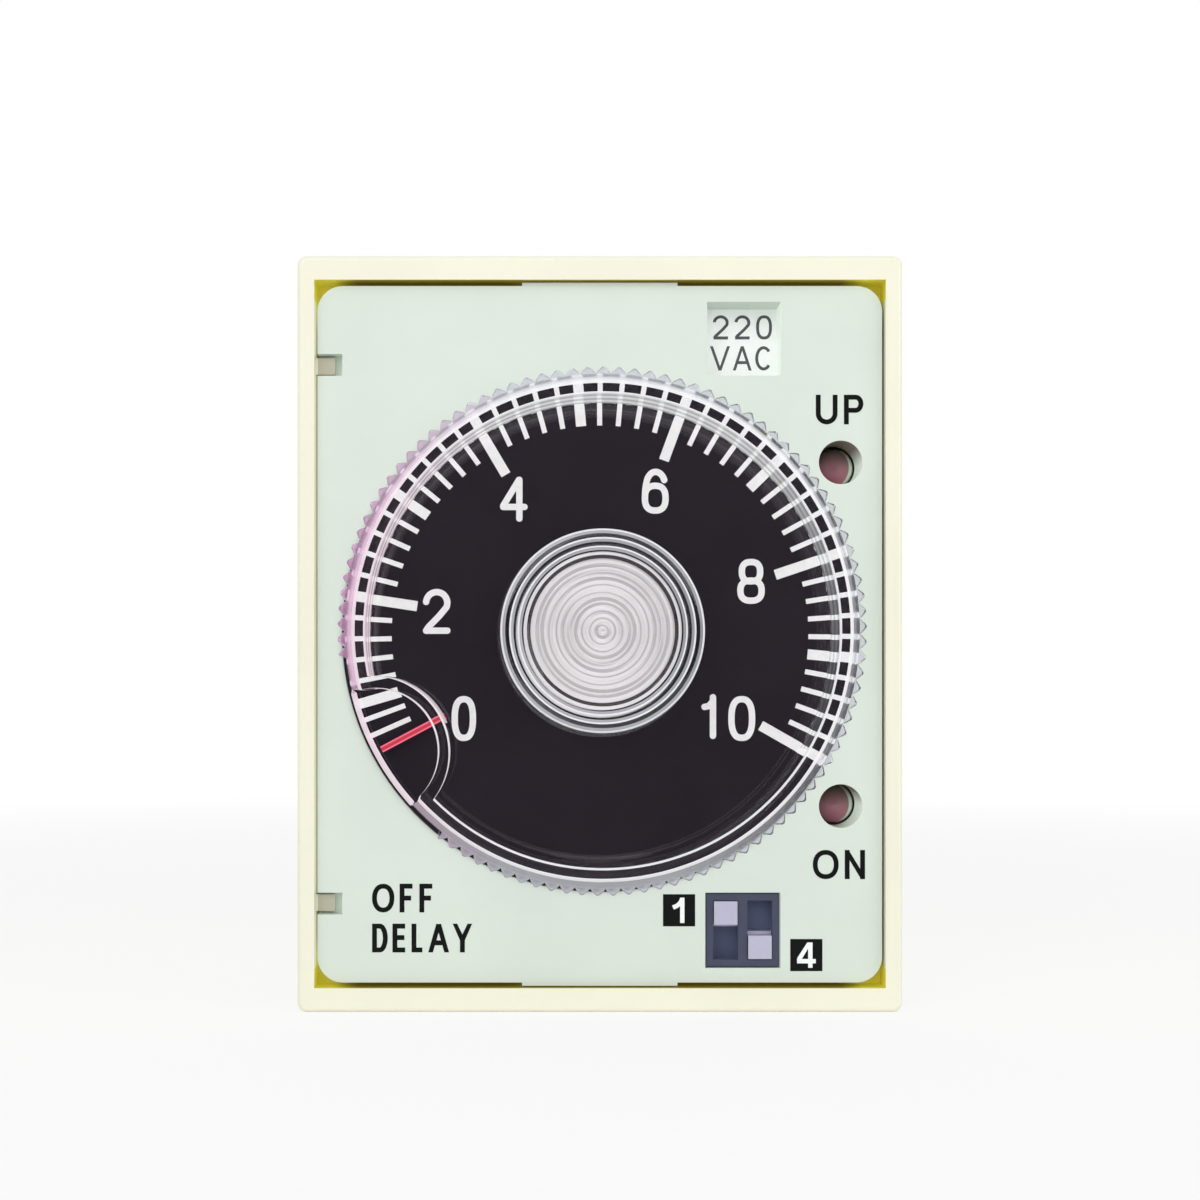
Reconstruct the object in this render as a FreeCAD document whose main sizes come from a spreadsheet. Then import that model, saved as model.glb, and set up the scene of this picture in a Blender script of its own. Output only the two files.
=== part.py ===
import FreeCAD, Part
import os
import re
import Sketcher

# Plug-in power-off delay timer. The origin is the centre of the pin circle on the plug's seating
# face. The pins point along +Y, the dial faces -Y and +Z is up. A "front" is a distance from the
# seating face towards the dial, in millimetres.

# Driving dimensions, in millimetres and degrees
SIZES = {
    "bezel_front": 64.0,
    "bezel_width": 40.0,
    "bezel_height": 50.0,
    "bezel_thick": 4.5,
    "bezel_corner": 0.6,
    "bezel_edge": 0.35,
    "sleeve_width": 38.0,
    "sleeve_height": 48.0,
    "sleeve_wall": 1.2,
    "sleeve_corner": 1.2,
    "seat_width": 37.75,
    "seat_height": 46.8,
    "seat_depth": 2.4,
    "nib_reach": 1.25,
    "nib_height": 1.1,
    "nib_thick": 0.5,
    "panel_width": 37.45,
    "panel_height": 46.2,
    "panel_thick": 1.8,
    "panel_corner": 1.7,
    "panel_play": 0.05,
    "tongue_width": 10.3,
    "tongue_reach": 0.22,
    "notch_width": 1.65,
    "notch_height": 1.45,
    "notch_depth": 1.2,
    "notch_offset": 17.87,
    "lamp_across": 15.98,
    "lamp_up": 11.4,
    "lamp_hole": 1.45,
    "lamp_collar": 1.8,
    "lamp_collar_depth": 1.6,
    "lamp_radius": 1.4,
    "lamp_flange": 1.75,
    "lamp_flange_thick": 1.0,
    "lamp_height": 5.3,
    "lamp_behind": 2.5,
    "lamp_lead": 0.5,
    "lamp_lead_pitch": 2.54,
    "window_size": 4.9,
    "rating_across": 9.57,
    "rating_up": 19.6,
    "chimney_wall": 0.7,
    "chimney_depth": 0.8,
    "card_thick": 0.5,
    "switch_window": 5.0,
    "switch_size": 4.86,
    "switch_across": 9.5,
    "switch_down": 19.64,
    "switch_sink": 0.2,
    "slider_size": 1.55,
    "slider_pitch": 2.27,
    "slider_foot": 1.95,
    "slider_foot_thick": 0.8,
    "slider_proud": 0.15,
    "slider_play": 0.05,
    "slot_lip": 0.7,
    "scale_radius": 17.05,
    "scale_thick": 0.4,
    "scale_sink": 0.2,
    "shaft_hole": 4.0,
    "knob_gap": 0.6,
    "knob_radius": 16.8,
    "knob_root": 16.35,
    "knob_land": 0.1,
    "smooth_radius": 16.3,
    "knob_shoulder": 5.8,
    "knob_foot": 0.3,
    "ledge_height": 6.4,
    "ledge_outer": 15.78,
    "ledge_inner": 14.97,
    "dish_radius": 14.92,
    "dish_floor": 2.0,
    "hub_root": 6.65,
    "hub_radius": 6.45,
    "hub_height": 6.8,
    "groove_pitch": 0.53,
    "groove_depth": 0.22,
    "boss_reach": 16.3,
    "boss_outer": 4.8,
    "boss_border": 0.8,
    "pointer_angle": 207.9,
    "pointer_start": 11.8,
    "pointer_end": 16.3,
    "pointer_width": 0.42,
    "pointer_sink": 0.3,
    "tooth_angle": 3.41,
    "tooth_clear": 25.3,
    "tooth_half": 0.5,
    "shaft_radius": 3.0,
    "shaft_play": 0.05,
    "head_radius": 5.0,
    "head_back": 1.0,
    "head_front": 4.6,
    "fit_play": 0.02,
    "pot_radius": 8.0,
    "pot_depth": 6.5,
    "pot_cover": 1.0,
    "bush_radius": 4.6,
    "rotor_radius": 6.4,
    "rotor_thick": 2.0,
    "rotor_play": 0.3,
    "board_gap": 9.6,
    "board_thick": 1.6,
    "board_width": 35.0,
    "board_height": 45.0,
    "side_board_across": 14.0,
    "side_board_height": 40.0,
    "plug_boss": 16.0,
    "plug_boss_depth": 5.0,
    "plug_plate": 3.0,
    "plug_edge": 0.5,
    "lip_depth": 5.0,
    "lip_wall": 1.4,
    "lip_play": 0.1,
    "hook_offset": 12.0,
    "hook_width": 5.6,
    "hook_reach": 0.9,
    "hook_start": 1.8,
    "hook_depth": 2.0,
    "hook_play": 0.2,
    "rail_offset": 16.0,
    "rail_thick": 1.0,
    "rail_outer": 0.5,
    "rail_width": 3.0,
    "rail_depth": 3.0,
    "rail_play": 0.05,
    "post_radius": 3.95,
    "post_length": 14.0,
    "post_edge": 0.9,
    "key_width": 1.6,
    "key_reach": 4.95,
    "key_short": 1.5,
    "pin_circle": 8.725,
    "pin_first": 22.5,
    "pin_step": 45.0,
    "pin_radius": 1.18,
    "pin_shank": 1.5,
    "pin_length": 11.0,
    "pin_tip": 0.45,
    "pin_collar": 1.9,
    "pin_collar_thick": 1.2,
    "pin_tail": 0.8,
    "pin_tail_length": 2.5,
    "strap_width": 1.2,
    "strap_thick": 0.5,
    "relay_length": 19.0,
    "relay_width": 15.0,
    "relay_height": 15.5,
    "relay_front": 33.0,
    "relay_low": 19.0,
    "relay_edge": 0.6,
    "store_radius": 6.5,
    "store_length": 21.0,
    "store_up": 11.0,
    "store_front": 22.0,
    "filter_radius": 4.0,
    "filter_length": 12.0,
    "filter_up": 11.0,
    "filter_front": 37.0,
    "crimp_sink": 0.45,
    "crimp_place": 2.4,
    "crimp_half": 0.7,
    "can_edge": 0.5,
    "dropper_length": 18.0,
    "dropper_width": 8.0,
    "dropper_height": 12.0,
    "dropper_front": 49.5,
    "dropper_low": 18.0,
    "chip_length": 19.3,
    "chip_width": 6.35,
    "chip_height": 3.3,
    "chip_lift": 0.5,
    "chip_front": 49.8,
    "chip_up": 4.2,
    "chip_lead_width": 0.5,
    "chip_lead_thick": 0.3,
    "chip_lead_pitch": 2.54,
    "axial_lift": 1.6,
    "axial_overhang": 0.9,
    "axial_wire": 0.3,
    "axial_post": 0.24,
    "axial_pitch": 4.0,
    "resistor_radius": 1.15,
    "resistor_length": 6.5,
    "resistor_front": 46.0,
    "resistor_low": 16.0,
    "diode_radius": 1.35,
    "diode_length": 5.0,
    "diode_front": 47.5,
    "diode_low": -4.0,
}

# Counts
GROOVES = 11
TEETH = 92
PINS = 8
CHIP_LEADS = 8
RESISTORS = 4
DIODES = 4

# Planes worked out from the driving dimensions, as distances in front of the seating face
SHELF = "(bezel_front - seat_depth)"
FACE = "(bezel_front - seat_depth + panel_thick)"
BOARD = f"({SHELF} - board_gap)"
BOARD_BACK = f"({BOARD} - board_thick)"
PLUG_INSIDE = "(plug_boss_depth + plug_plate)"
PIN_END = f"({PLUG_INSIDE} + pin_collar_thick + pin_tail_length)"
SWITCH_FRONT = f"({FACE} - switch_sink)"
KNOB_BACK = f"({FACE} + knob_gap)"
COVER_FRONT = f"({BOARD} + pot_cover)"
ROTOR_BACK = f"({COVER_FRONT} + rotor_play)"
ROTOR_FRONT = f"({ROTOR_BACK} + rotor_thick)"

# Width and height of the sleeve's inside and of the plug's lip that enters it
CAVITY_WIDTH = "(sleeve_width - 2 * sleeve_wall)"
CAVITY_HEIGHT = "(sleeve_height - 2 * sleeve_wall)"
LIP_WIDTH = f"({CAVITY_WIDTH} - 2 * lip_play)"
LIP_HEIGHT = f"({CAVITY_HEIGHT} - 2 * lip_play)"

ALONG_X = FreeCAD.Rotation(FreeCAD.Vector(0, 1, 0), 90)
ALONG_Y = FreeCAD.Rotation(FreeCAD.Vector(1, 0, 0), -90)
WORD = re.compile(r"[a-z][a-z_]*")

doc = FreeCAD.newDocument("PowerOffDelayTimer")
sheet = doc.addObject("Spreadsheet::Sheet", "Sizes")
for row, (alias, value) in enumerate(SIZES.items(), start=1):
    sheet.set(f"A{row}", alias)
    sheet.set(f"B{row}", str(value))
    sheet.setAlias(f"B{row}", alias)
doc.recompute()

pieces = []


# Expressions

def bound(text):
    """The text with the name of each size turned into a reference to its cell."""
    def reference(match):
        word = match.group()
        return "Sizes." + word if word in SIZES else word
    return WORD.sub(reference, text)


def number(text):
    """The present value of an expression in the sheet's names."""
    return float(sheet.evalExpression(bound(text)))


def bind(thing, **expressions):
    """Bind properties to expressions; a double underscore stands for a dot in the property's path."""
    for path, text in expressions.items():
        thing.setExpression(path.replace("__", "."), bound(text))


def place(thing, across="0", along="0", up="0"):
    """Bind a thing's Placement to a point."""
    bind(thing, Placement__Base__x=across, Placement__Base__y=along, Placement__Base__z=up)


def keep(thing, label):
    """Name a finished sub-part, which is written to a file of that name."""
    thing.Label = label
    pieces.append(thing)
    return thing


# Sketches

def new_body(name):
    return doc.addObject("PartDesign::Body", name + "_body")


def new_sketch(body, name, role="XZ_Plane", front="0", turn="0", axis=(0, 0, 1)):
    """A sketch on one of the body's own planes, moved along its normal and turned about it or an axis in it.

    On XZ_Plane the sketch is seen as from the dial's side, and its normal points at the viewer.
    """
    sketch = body.newObject("Sketcher::SketchObject", name)
    plane = next(part for part in body.Origin.OriginFeatures if part.Role == role)
    sketch.AttachmentSupport = [(plane, "")]
    sketch.MapMode = "FlatFace"
    turned_by = FreeCAD.Rotation(FreeCAD.Vector(*axis), number(turn))
    sketch.AttachmentOffset = FreeCAD.Placement(FreeCAD.Vector(), turned_by)
    bind(sketch, AttachmentOffset__Base__z=front)
    if turn != "0":
        bind(sketch, AttachmentOffset__Rotation__Angle=turn)
    return sketch


def hold_point(sketch, geometry, point, across, up):
    """Tie one point of a sketch to the sketch's origin by two bound distances."""
    for kind, text, axis in (("DistanceX", across, -2), ("DistanceY", up, -1)):
        if text == "0":
            sketch.addConstraint(Sketcher.Constraint("PointOnObject", geometry, point, axis))
            continue
        rule = Sketcher.Constraint(kind, -1, 1, geometry, point, number(text))
        index = sketch.addConstraint(rule)
        sketch.setExpression(f"Constraints[{index}]", bound(text))


def add_outline(sketch, corners):
    """A closed outline of straight lines, with every corner bound to the sheet."""
    points = [FreeCAD.Vector(number(across), number(up), 0) for across, up in corners]
    first = sketch.GeometryCount
    for start, end in zip(points, points[1:] + points[:1]):
        sketch.addGeometry(Part.LineSegment(start, end), False)
    for index, (across, up) in enumerate(corners):
        before = first + (index - 1) % len(corners)
        sketch.addConstraint(Sketcher.Constraint("Coincident", before, 2, first + index, 1))
        hold_point(sketch, first + index, 1, across, up)


def add_rectangle(sketch, width, height, across="0", up="0"):
    left = f"{across} - {width} / 2"
    right = f"{across} + {width} / 2"
    low = f"{up} - {height} / 2"
    high = f"{up} + {height} / 2"
    add_outline(sketch, [(left, low), (right, low), (right, high), (left, high)])


def add_circle(sketch, radius, across="0", up="0"):
    centre = FreeCAD.Vector(number(across), number(up), 0)
    circle = Part.Circle(centre, FreeCAD.Vector(0, 0, 1), number(radius))
    geometry = sketch.addGeometry(circle, False)
    index = sketch.addConstraint(Sketcher.Constraint("Radius", geometry, number(radius)))
    sketch.setExpression(f"Constraints[{index}]", bound(radius))
    hold_point(sketch, geometry, 3, across, up)


# Features

def pad(body, sketch, length, backwards=False, symmetric=False):
    """Add the sketch's outline as a solid, towards the dial or backwards towards the plug."""
    feature = body.newObject("PartDesign::Pad", sketch.Name + "_pad")
    feature.Profile = sketch
    feature.Reversed = backwards
    if symmetric:
        feature.SideType = "Symmetric"
    bind(feature, Length=length)
    doc.recompute()
    return feature


def pocket(body, sketch, depth=None, forwards=False, symmetric=False):
    """Cut the sketch's outline away, towards the plug unless forwards, by a depth or right through."""
    before = body.Shape.Volume
    feature = body.newObject("PartDesign::Pocket", sketch.Name + "_cut")
    feature.Profile = sketch
    feature.Reversed = forwards
    if symmetric:
        feature.SideType = "Symmetric"
    if depth is None:
        feature.Type = "ThroughAll"
    else:
        bind(feature, Length=depth)
    doc.recompute()
    if body.Shape.Volume >= before:
        raise RuntimeError(sketch.Name + " cut nothing")
    return feature


def turned(name, corners):
    """A body of revolution about the dial axis; each corner is a radius and a front."""
    body = new_body(name)
    sketch = new_sketch(body, name + "_profile", "XY_Plane")
    add_outline(sketch, [(radius, f"-({front})") for radius, front in corners])
    feature = body.newObject("PartDesign::Revolution", name + "_turned")
    feature.Profile = sketch
    feature.ReferenceAxis = (sketch, ["V_Axis"])
    feature.Angle = 360.0
    doc.recompute()
    return body


def turned_cut(body, sketch, angle="360"):
    """Cut the sketch's outline away round the dial axis, right round or by an angle with it in the middle."""
    before = body.Shape.Volume
    feature = body.newObject("PartDesign::Groove", sketch.Name + "_cut")
    feature.Profile = sketch
    feature.ReferenceAxis = (sketch, ["V_Axis"])
    feature.Midplane = angle != "360"
    bind(feature, Angle=angle)
    doc.recompute()
    if body.Shape.Volume >= before:
        raise RuntimeError(sketch.Name + " cut nothing")
    return feature


def polar(body, feature, sketch, step, count):
    """Repeat a feature about the dial axis, one step apart."""
    pattern = body.newObject("PartDesign::PolarPattern", sketch.Name + "_pattern")
    pattern.Originals = [feature]
    pattern.Axis = (sketch, ["N_Axis"])
    pattern.Mode = "Spacing"
    pattern.Occurrences = count
    bind(pattern, Offset=step)
    body.Tip = pattern
    doc.recompute()
    return pattern


def dress(body, kind, wanted, name, **expressions):
    """A Fillet or Chamfer on the edges of the body's tip that a test picks."""
    base = body.Tip
    names = [f"Edge{i}" for i, edge in enumerate(base.Shape.Edges, start=1) if wanted(edge)]
    feature = body.newObject("PartDesign::" + kind, name)
    feature.Base = (base, names)
    bind(feature, **expressions)
    doc.recompute()
    return feature


def runs_in_depth(edge):
    """Whether an edge runs straight along Y."""
    ends = [vertex.Point for vertex in edge.Vertexes]
    if len(ends) != 2:
        return False
    step = ends[1] - ends[0]
    return abs(step.y) > 1e-6 and abs(step.x) < 1e-6 and abs(step.z) < 1e-6


def lies_at(front):
    """A test for edges that lie wholly in the plane at that front."""
    level = -number(front)

    def wanted(edge):
        box = edge.BoundBox
        return abs(box.YMin - level) < 1e-6 and abs(box.YMax - level) < 1e-6
    return wanted


# Solids made from primitives

def block(name, low, size):
    """A box from its low corner and its size along X, Y and Z."""
    box = doc.addObject("Part::Box", name)
    bind(box, Length=size[0], Width=size[1], Height=size[2])
    place(box, *low)
    return box


def rod(name, radius, length, start, rotation):
    """A cylinder that starts at a point and runs along the turned Z axis."""
    cylinder = doc.addObject("Part::Cylinder", name)
    cylinder.Placement = FreeCAD.Placement(FreeCAD.Vector(), rotation)
    bind(cylinder, Radius=radius, Height=length)
    place(cylinder, *start)
    return cylinder


def fused(name, shapes):
    joined = doc.addObject("Part::MultiFuse", name)
    joined.Shapes = shapes
    return joined


def grouped(name, shapes):
    group = doc.addObject("Part::Compound", name)
    group.Links = shapes
    return group


# Housing

def make_case():
    """Moulded sleeve with a bezel frame, a seat for the panel, latch nibs and hook windows."""
    body = new_body("case")
    sleeve = new_sketch(body, "sleeve", front=PLUG_INSIDE)
    add_rectangle(sleeve, "sleeve_width", "sleeve_height")
    pad(body, sleeve, f"bezel_front - bezel_thick - {PLUG_INSIDE}")
    dress(body, "Fillet", runs_in_depth, "sleeve_corners", Radius="sleeve_corner")

    bezel = new_sketch(body, "bezel", front="bezel_front - bezel_thick")
    add_rectangle(bezel, "bezel_width", "bezel_height")
    pad(body, bezel, "bezel_thick")
    half_width = number("bezel_width / 2")

    def bezel_corner(edge):
        return runs_in_depth(edge) and abs(abs(edge.Vertexes[0].X) - half_width) < 1e-6
    dress(body, "Fillet", bezel_corner, "bezel_corners", Radius="bezel_corner")
    dress(body, "Fillet", lies_at("bezel_front"), "bezel_front_edge", Radius="bezel_edge")

    seat = new_sketch(body, "panel_seat", front="bezel_front")
    add_rectangle(seat, "seat_width", "seat_height")
    pocket(body, seat, "seat_depth")
    cavity = new_sketch(body, "cavity", front="bezel_front")
    add_rectangle(cavity, CAVITY_WIDTH, CAVITY_HEIGHT)
    pocket(body, cavity)

    nibs = new_sketch(body, "latch_nibs", front=f"{FACE} - notch_depth + panel_play")
    root = "sleeve_wall / 4"
    for side in ("", "-"):
        middle = f"-seat_width / 2 + (nib_reach - {root}) / 2"
        add_rectangle(nibs, f"(nib_reach + {root})", "nib_height", middle, f"{side}notch_offset")
    pad(body, nibs, "nib_thick")

    windows = new_sketch(body, "hook_windows", "YZ_Plane")
    middle = f"-({PLUG_INSIDE} + hook_start + hook_depth / 2)"
    for side in ("", "-"):
        add_rectangle(windows, "(hook_depth + 2 * hook_play)", "(hook_width + 2 * hook_play)",
                      middle, f"{side}hook_offset")
    pocket(body, windows, "2 * bezel_width", symmetric=True)
    return keep(body, "case")


def make_front_panel():
    """Panel with rounded corners, tongues, latch notches, a dial recess, lamp holes and windows."""
    body = new_body("front_panel")
    slab = new_sketch(body, "panel_slab", front=SHELF)
    add_rectangle(slab, "panel_width", "panel_height")
    pad(body, slab, "panel_thick")
    dress(body, "Fillet", runs_in_depth, "panel_corners", Radius="panel_corner")

    tongues = new_sketch(body, "tongues", front=SHELF)
    add_rectangle(tongues, "tongue_width", "(panel_height + 2 * tongue_reach)")
    pad(body, tongues, "panel_thick")

    chimney = new_sketch(body, "chimney", front=SHELF)
    outside = "(window_size + 2 * chimney_wall)"
    add_rectangle(chimney, outside, outside, "rating_across", "rating_up")
    pad(body, chimney, "chimney_depth", backwards=True)

    collars = new_sketch(body, "lamp_collars", front=SHELF)
    for side in ("", "-"):
        add_circle(collars, "lamp_collar", "lamp_across", f"{side}lamp_up")
    pad(body, collars, "lamp_collar_depth", backwards=True)

    holes = new_sketch(body, "panel_holes", front=FACE)
    add_circle(holes, "shaft_hole")
    add_rectangle(holes, "window_size", "window_size", "rating_across", "rating_up")
    add_rectangle(holes, "switch_window", "switch_window", "switch_across", "-switch_down")
    for side in ("", "-"):
        add_circle(holes, "lamp_hole", "lamp_across", f"{side}lamp_up")
    pocket(body, holes)

    recess = new_sketch(body, "dial_recess", front=FACE)
    add_circle(recess, "scale_radius + panel_play")
    pocket(body, recess, "scale_sink")

    notches = new_sketch(body, "latch_notches", front=FACE)
    for side in ("", "-"):
        add_rectangle(notches, "(2 * notch_width)", "notch_height", "-panel_width / 2",
                      f"{side}notch_offset")
    pocket(body, notches, "notch_depth")
    return keep(body, "front_panel")


def make_rating_card():
    """Card that closes the back of the rating window."""
    size = "(window_size + 2 * chimney_wall)"
    low = (f"rating_across - {size} / 2", f"-({SHELF} - chimney_depth)", f"rating_up - {size} / 2")
    return keep(block("rating_card_block", low, (size, "card_thick", size)), "rating_card")


# Dial

def make_scale_plate():
    """Black plate in the panel's recess, which carries the dial's scale."""
    back = f"({FACE} - scale_sink)"
    front = f"({back} + scale_thick)"
    return keep(turned("scale_plate", [("shaft_hole", back), ("scale_radius", back),
                                       ("scale_radius", front), ("shaft_hole", front)]), "scale_plate")


def knob_profile():
    """Half section of the knob: skirt, ledge, dish floor, hub with turned grooves, and hub bore."""
    def above(size):
        return f"({FACE} + {size})"
    bore = "head_radius + fit_play"
    corners = [
        (bore, KNOB_BACK),
        ("knob_radius - knob_foot", KNOB_BACK),
        ("knob_radius", f"{KNOB_BACK} + knob_foot"),
        ("knob_radius", above("knob_shoulder")),
        ("knob_root - knob_land", above("knob_shoulder")),
        ("ledge_outer", above("ledge_height")),
        ("ledge_inner", above("ledge_height")),
        ("dish_radius", above("dish_floor")),
        ("hub_root", above("dish_floor")),
        ("hub_radius", above("hub_height - groove_depth")),
    ]
    for groove in range(GROOVES):
        corners.append((f"hub_radius - {groove + 0.5} * groove_pitch", above("hub_height")))
        corners.append((f"hub_radius - {groove + 1} * groove_pitch", above("hub_height - groove_depth")))
    corners += [("0", above("hub_height")), ("0", above("head_front")), (bore, above("head_front"))]
    return corners


def make_dial_knob():
    """Clear knob: turned blank, pointer boss, smooth sector, sunken window, pointer groove and knurl."""
    body = turned("dial_knob", knob_profile())
    boss = new_sketch(body, "pointer_boss", front=f"{FACE} + dish_floor", turn="pointer_angle")
    add_circle(boss, "boss_outer", "boss_reach")
    pad(body, boss, "ledge_height - dish_floor")

    trim = new_sketch(body, "boss_trim", "XY_Plane")
    outer = "(boss_reach + 2 * boss_outer)"
    top = f"-({FACE} + ledge_height + knob_gap)"
    foot = f"-({KNOB_BACK} + 2 * knob_foot)"
    low = f"-({KNOB_BACK})"
    add_outline(trim, [("knob_radius", top), (outer, top), (outer, low), ("knob_radius", low)])
    turned_cut(body, trim)

    spread = f"(360 - {TEETH} * tooth_angle)"
    middle = f"pointer_angle + tooth_clear - tooth_angle / 2 - {spread} / 2"
    relief = new_sketch(body, "smooth_sector", "XY_Plane", turn=middle, axis=(0, -1, 0))
    add_outline(relief, [("smooth_radius", top), (outer, top), (outer, foot), ("knob_radius", foot),
                         ("smooth_radius", f"-({FACE} + knob_shoulder)")])
    turned_cut(body, relief, spread)

    window = new_sketch(body, "pointer_window", front=f"{FACE} + ledge_height", turn="pointer_angle")
    add_circle(window, "boss_outer - boss_border", "boss_reach")
    pocket(body, window, "ledge_height - dish_floor")

    slot = new_sketch(body, "pointer_groove", front=KNOB_BACK, turn="pointer_angle")
    add_rectangle(slot, "(pointer_end - pointer_start + 2 * fit_play)", "(pointer_width + 2 * fit_play)",
                  "(pointer_start + pointer_end) / 2")
    pocket(body, slot, "pointer_sink + fit_play", forwards=True)

    notch = new_sketch(body, "knurl", front=f"{FACE} + hub_height", turn="pointer_angle + tooth_clear")
    far = "2 * knob_radius - knob_root"
    add_outline(notch, [("knob_root", "0"), (far, "-2 * tooth_half"), (far, "2 * tooth_half")])
    cut = pocket(body, notch)
    polar(body, cut, notch, "tooth_angle", TEETH)
    return keep(body, "dial_knob")


def make_pointer_line():
    """Red line set into the underside of the pointer boss."""
    body = new_body("pointer_line")
    sketch = new_sketch(body, "pointer_bar", front=KNOB_BACK, turn="pointer_angle")
    add_rectangle(sketch, "(pointer_end - pointer_start)", "pointer_width",
                  "(pointer_start + pointer_end) / 2")
    pad(body, sketch, "pointer_sink")
    return keep(body, "pointer_line")


def make_dial_shaft():
    """Shaft with a disc head that fills the knob's hub, and a plain end in the rotor."""
    head = f"({FACE} + head_back)"
    top = f"({FACE} + head_front)"
    return keep(turned("dial_shaft", [("0", ROTOR_BACK), ("shaft_radius", ROTOR_BACK), ("shaft_radius", head),
                                      ("head_radius", head), ("head_radius", top), ("0", top)]), "dial_shaft")


def make_potentiometer():
    """Potentiometer: cup with a bush against the panel, a cover on the board and the rotor between."""
    bore = "shaft_radius + shaft_play"
    room = "rotor_radius + rotor_play"
    room_front = f"({ROTOR_FRONT} + rotor_play)"
    front = f"({BOARD} + pot_depth)"
    keep(turned("pot_body", [(bore, SHELF), (bore, room_front), (room, room_front), (room, COVER_FRONT),
                             ("pot_radius", COVER_FRONT), ("pot_radius", front), ("bush_radius", front),
                             ("bush_radius", SHELF)]), "pot_body")
    keep(turned("pot_cover", [("0", BOARD), ("pot_radius", BOARD), ("pot_radius", COVER_FRONT),
                              ("0", COVER_FRONT)]), "pot_cover")
    hole = "shaft_radius + fit_play"
    keep(turned("pot_rotor", [(hole, ROTOR_BACK), ("rotor_radius", ROTOR_BACK), ("rotor_radius", ROTOR_FRONT),
                              (hole, ROTOR_FRONT)]), "pot_rotor")


# Lamps and range switch on the front board

def make_lamp(label, up):
    """Three millimetre lamp: domed lens on a flange, standing on two leads."""
    base = f"({FACE} - lamp_behind - lamp_height)"
    dome = f"({FACE} - lamp_behind - lamp_radius)"
    lens = rod(label + "_lens", "lamp_radius", f"{dome} - {base}", ("lamp_across", f"-{dome}", up), ALONG_Y)
    cap = doc.addObject("Part::Sphere", label + "_dome")
    bind(cap, Radius="lamp_radius")
    place(cap, "lamp_across", f"-{dome}", up)
    flange_front = f"-({base} + lamp_flange_thick)"
    flange = rod(label + "_flange", "lamp_flange", "lamp_flange_thick",
                 ("lamp_across", flange_front, up), ALONG_Y)
    leads = []
    for side in ("-", "+"):
        low = ("lamp_across - lamp_lead / 2", f"-({base} + lamp_flange_thick / 2)",
               f"{up} {side} lamp_lead_pitch / 2 - lamp_lead / 2")
        size = ("lamp_lead", f"{base} + lamp_flange_thick / 2 - {BOARD}", "lamp_lead")
        leads.append(block(label + "_lead", low, size))
    return keep(fused(label + "_lamp", [lens, cap, flange] + leads), label)


def make_range_switch_body():
    """Switch block with two slots, each opening into a wider channel for a slider's foot."""
    body = new_body("range_switch")
    base = new_sketch(body, "switch_block", front=BOARD)
    add_rectangle(base, "switch_size", "switch_size", "switch_across", "-switch_down")
    pad(body, base, f"{SWITCH_FRONT} - {BOARD}")
    slots = new_sketch(body, "slider_slots", front=SWITCH_FRONT)
    channels = new_sketch(body, "slider_channels", front=f"{SWITCH_FRONT} - slot_lip")
    for side in ("-", "+"):
        across = f"(switch_across {side} slider_pitch / 2)"
        for sketch, size in ((slots, "slider_size"), (channels, "slider_foot")):
            add_rectangle(sketch, f"({size} + 2 * slider_play)", f"({size} + slider_pitch + 2 * slider_play)",
                          across, "-switch_down")
    pocket(body, slots, "slot_lip")
    pocket(body, channels, "slider_foot_thick + 2 * slider_play")
    return keep(body, "range_switch_body")


def make_range_slider(label, side, rest):
    """Slider button on a wider foot, placed at its column and rest position."""
    body = new_body(label)
    foot = new_sketch(body, label + "_foot")
    add_rectangle(foot, "slider_foot", "slider_foot")
    pad(body, foot, "slider_foot_thick")
    button = new_sketch(body, label + "_button")
    add_rectangle(button, "slider_size", "slider_size")
    pad(body, button, "slider_foot_thick + slider_play + slot_lip + slider_proud")
    place(body, f"switch_across {side} slider_pitch / 2",
          f"-({SWITCH_FRONT} - slot_lip - slider_play - slider_foot_thick)",
          f"-switch_down {rest} slider_pitch / 2")
    return keep(body, label)


# Boards and what they carry

def make_boards():
    """Front board behind the panel, and two side boards from it to the plug."""
    low = ("-board_width / 2", f"-{BOARD}", "-board_height / 2")
    keep(block("front_board_block", low, ("board_width", "board_thick", "board_height")), "front_board")
    size = ("board_thick", f"{BOARD_BACK} - {PLUG_INSIDE}", "side_board_height")
    sides = {"timing_board": "-side_board_across - board_thick", "power_board": "side_board_across"}
    for label, across in sides.items():
        low = (across, f"-{BOARD_BACK}", "-side_board_height / 2")
        keep(block(label + "_block", low, size), label)


def make_output_relay():
    """Sealed relay on the power board, with rounded edges along its depth."""
    body = new_body("output_relay")
    sketch = new_sketch(body, "relay_cover", front="relay_front")
    add_rectangle(sketch, "relay_height", "relay_width", "side_board_across - relay_height / 2",
                  "-relay_low + relay_width / 2")
    pad(body, sketch, "relay_length", backwards=True)
    dress(body, "Fillet", lies_at("relay_front"), "relay_cover_edges", Radius="relay_edge")
    return keep(body, "output_relay")


def make_can(label, size, board_side, up, front):
    """Round capacitor can on a side board: rolled crimp near its foot and a chamfered end."""
    body = turned(label, [
        ("0", "0"),
        (f"{size}_radius", "0"),
        (f"{size}_radius", "crimp_place - crimp_half"),
        (f"{size}_radius - crimp_sink", "crimp_place"),
        (f"{size}_radius", "crimp_place + crimp_half"),
        (f"{size}_radius", f"{size}_length - can_edge"),
        (f"{size}_radius - can_edge", f"{size}_length"),
        ("0", f"{size}_length"),
    ])
    inwards = 90 if board_side == "-" else -90
    body.Placement = FreeCAD.Placement(FreeCAD.Vector(), FreeCAD.Rotation(FreeCAD.Vector(0, 0, 1), inwards))
    place(body, f"{board_side}side_board_across", f"-({front})", up)
    return keep(body, label)


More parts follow.
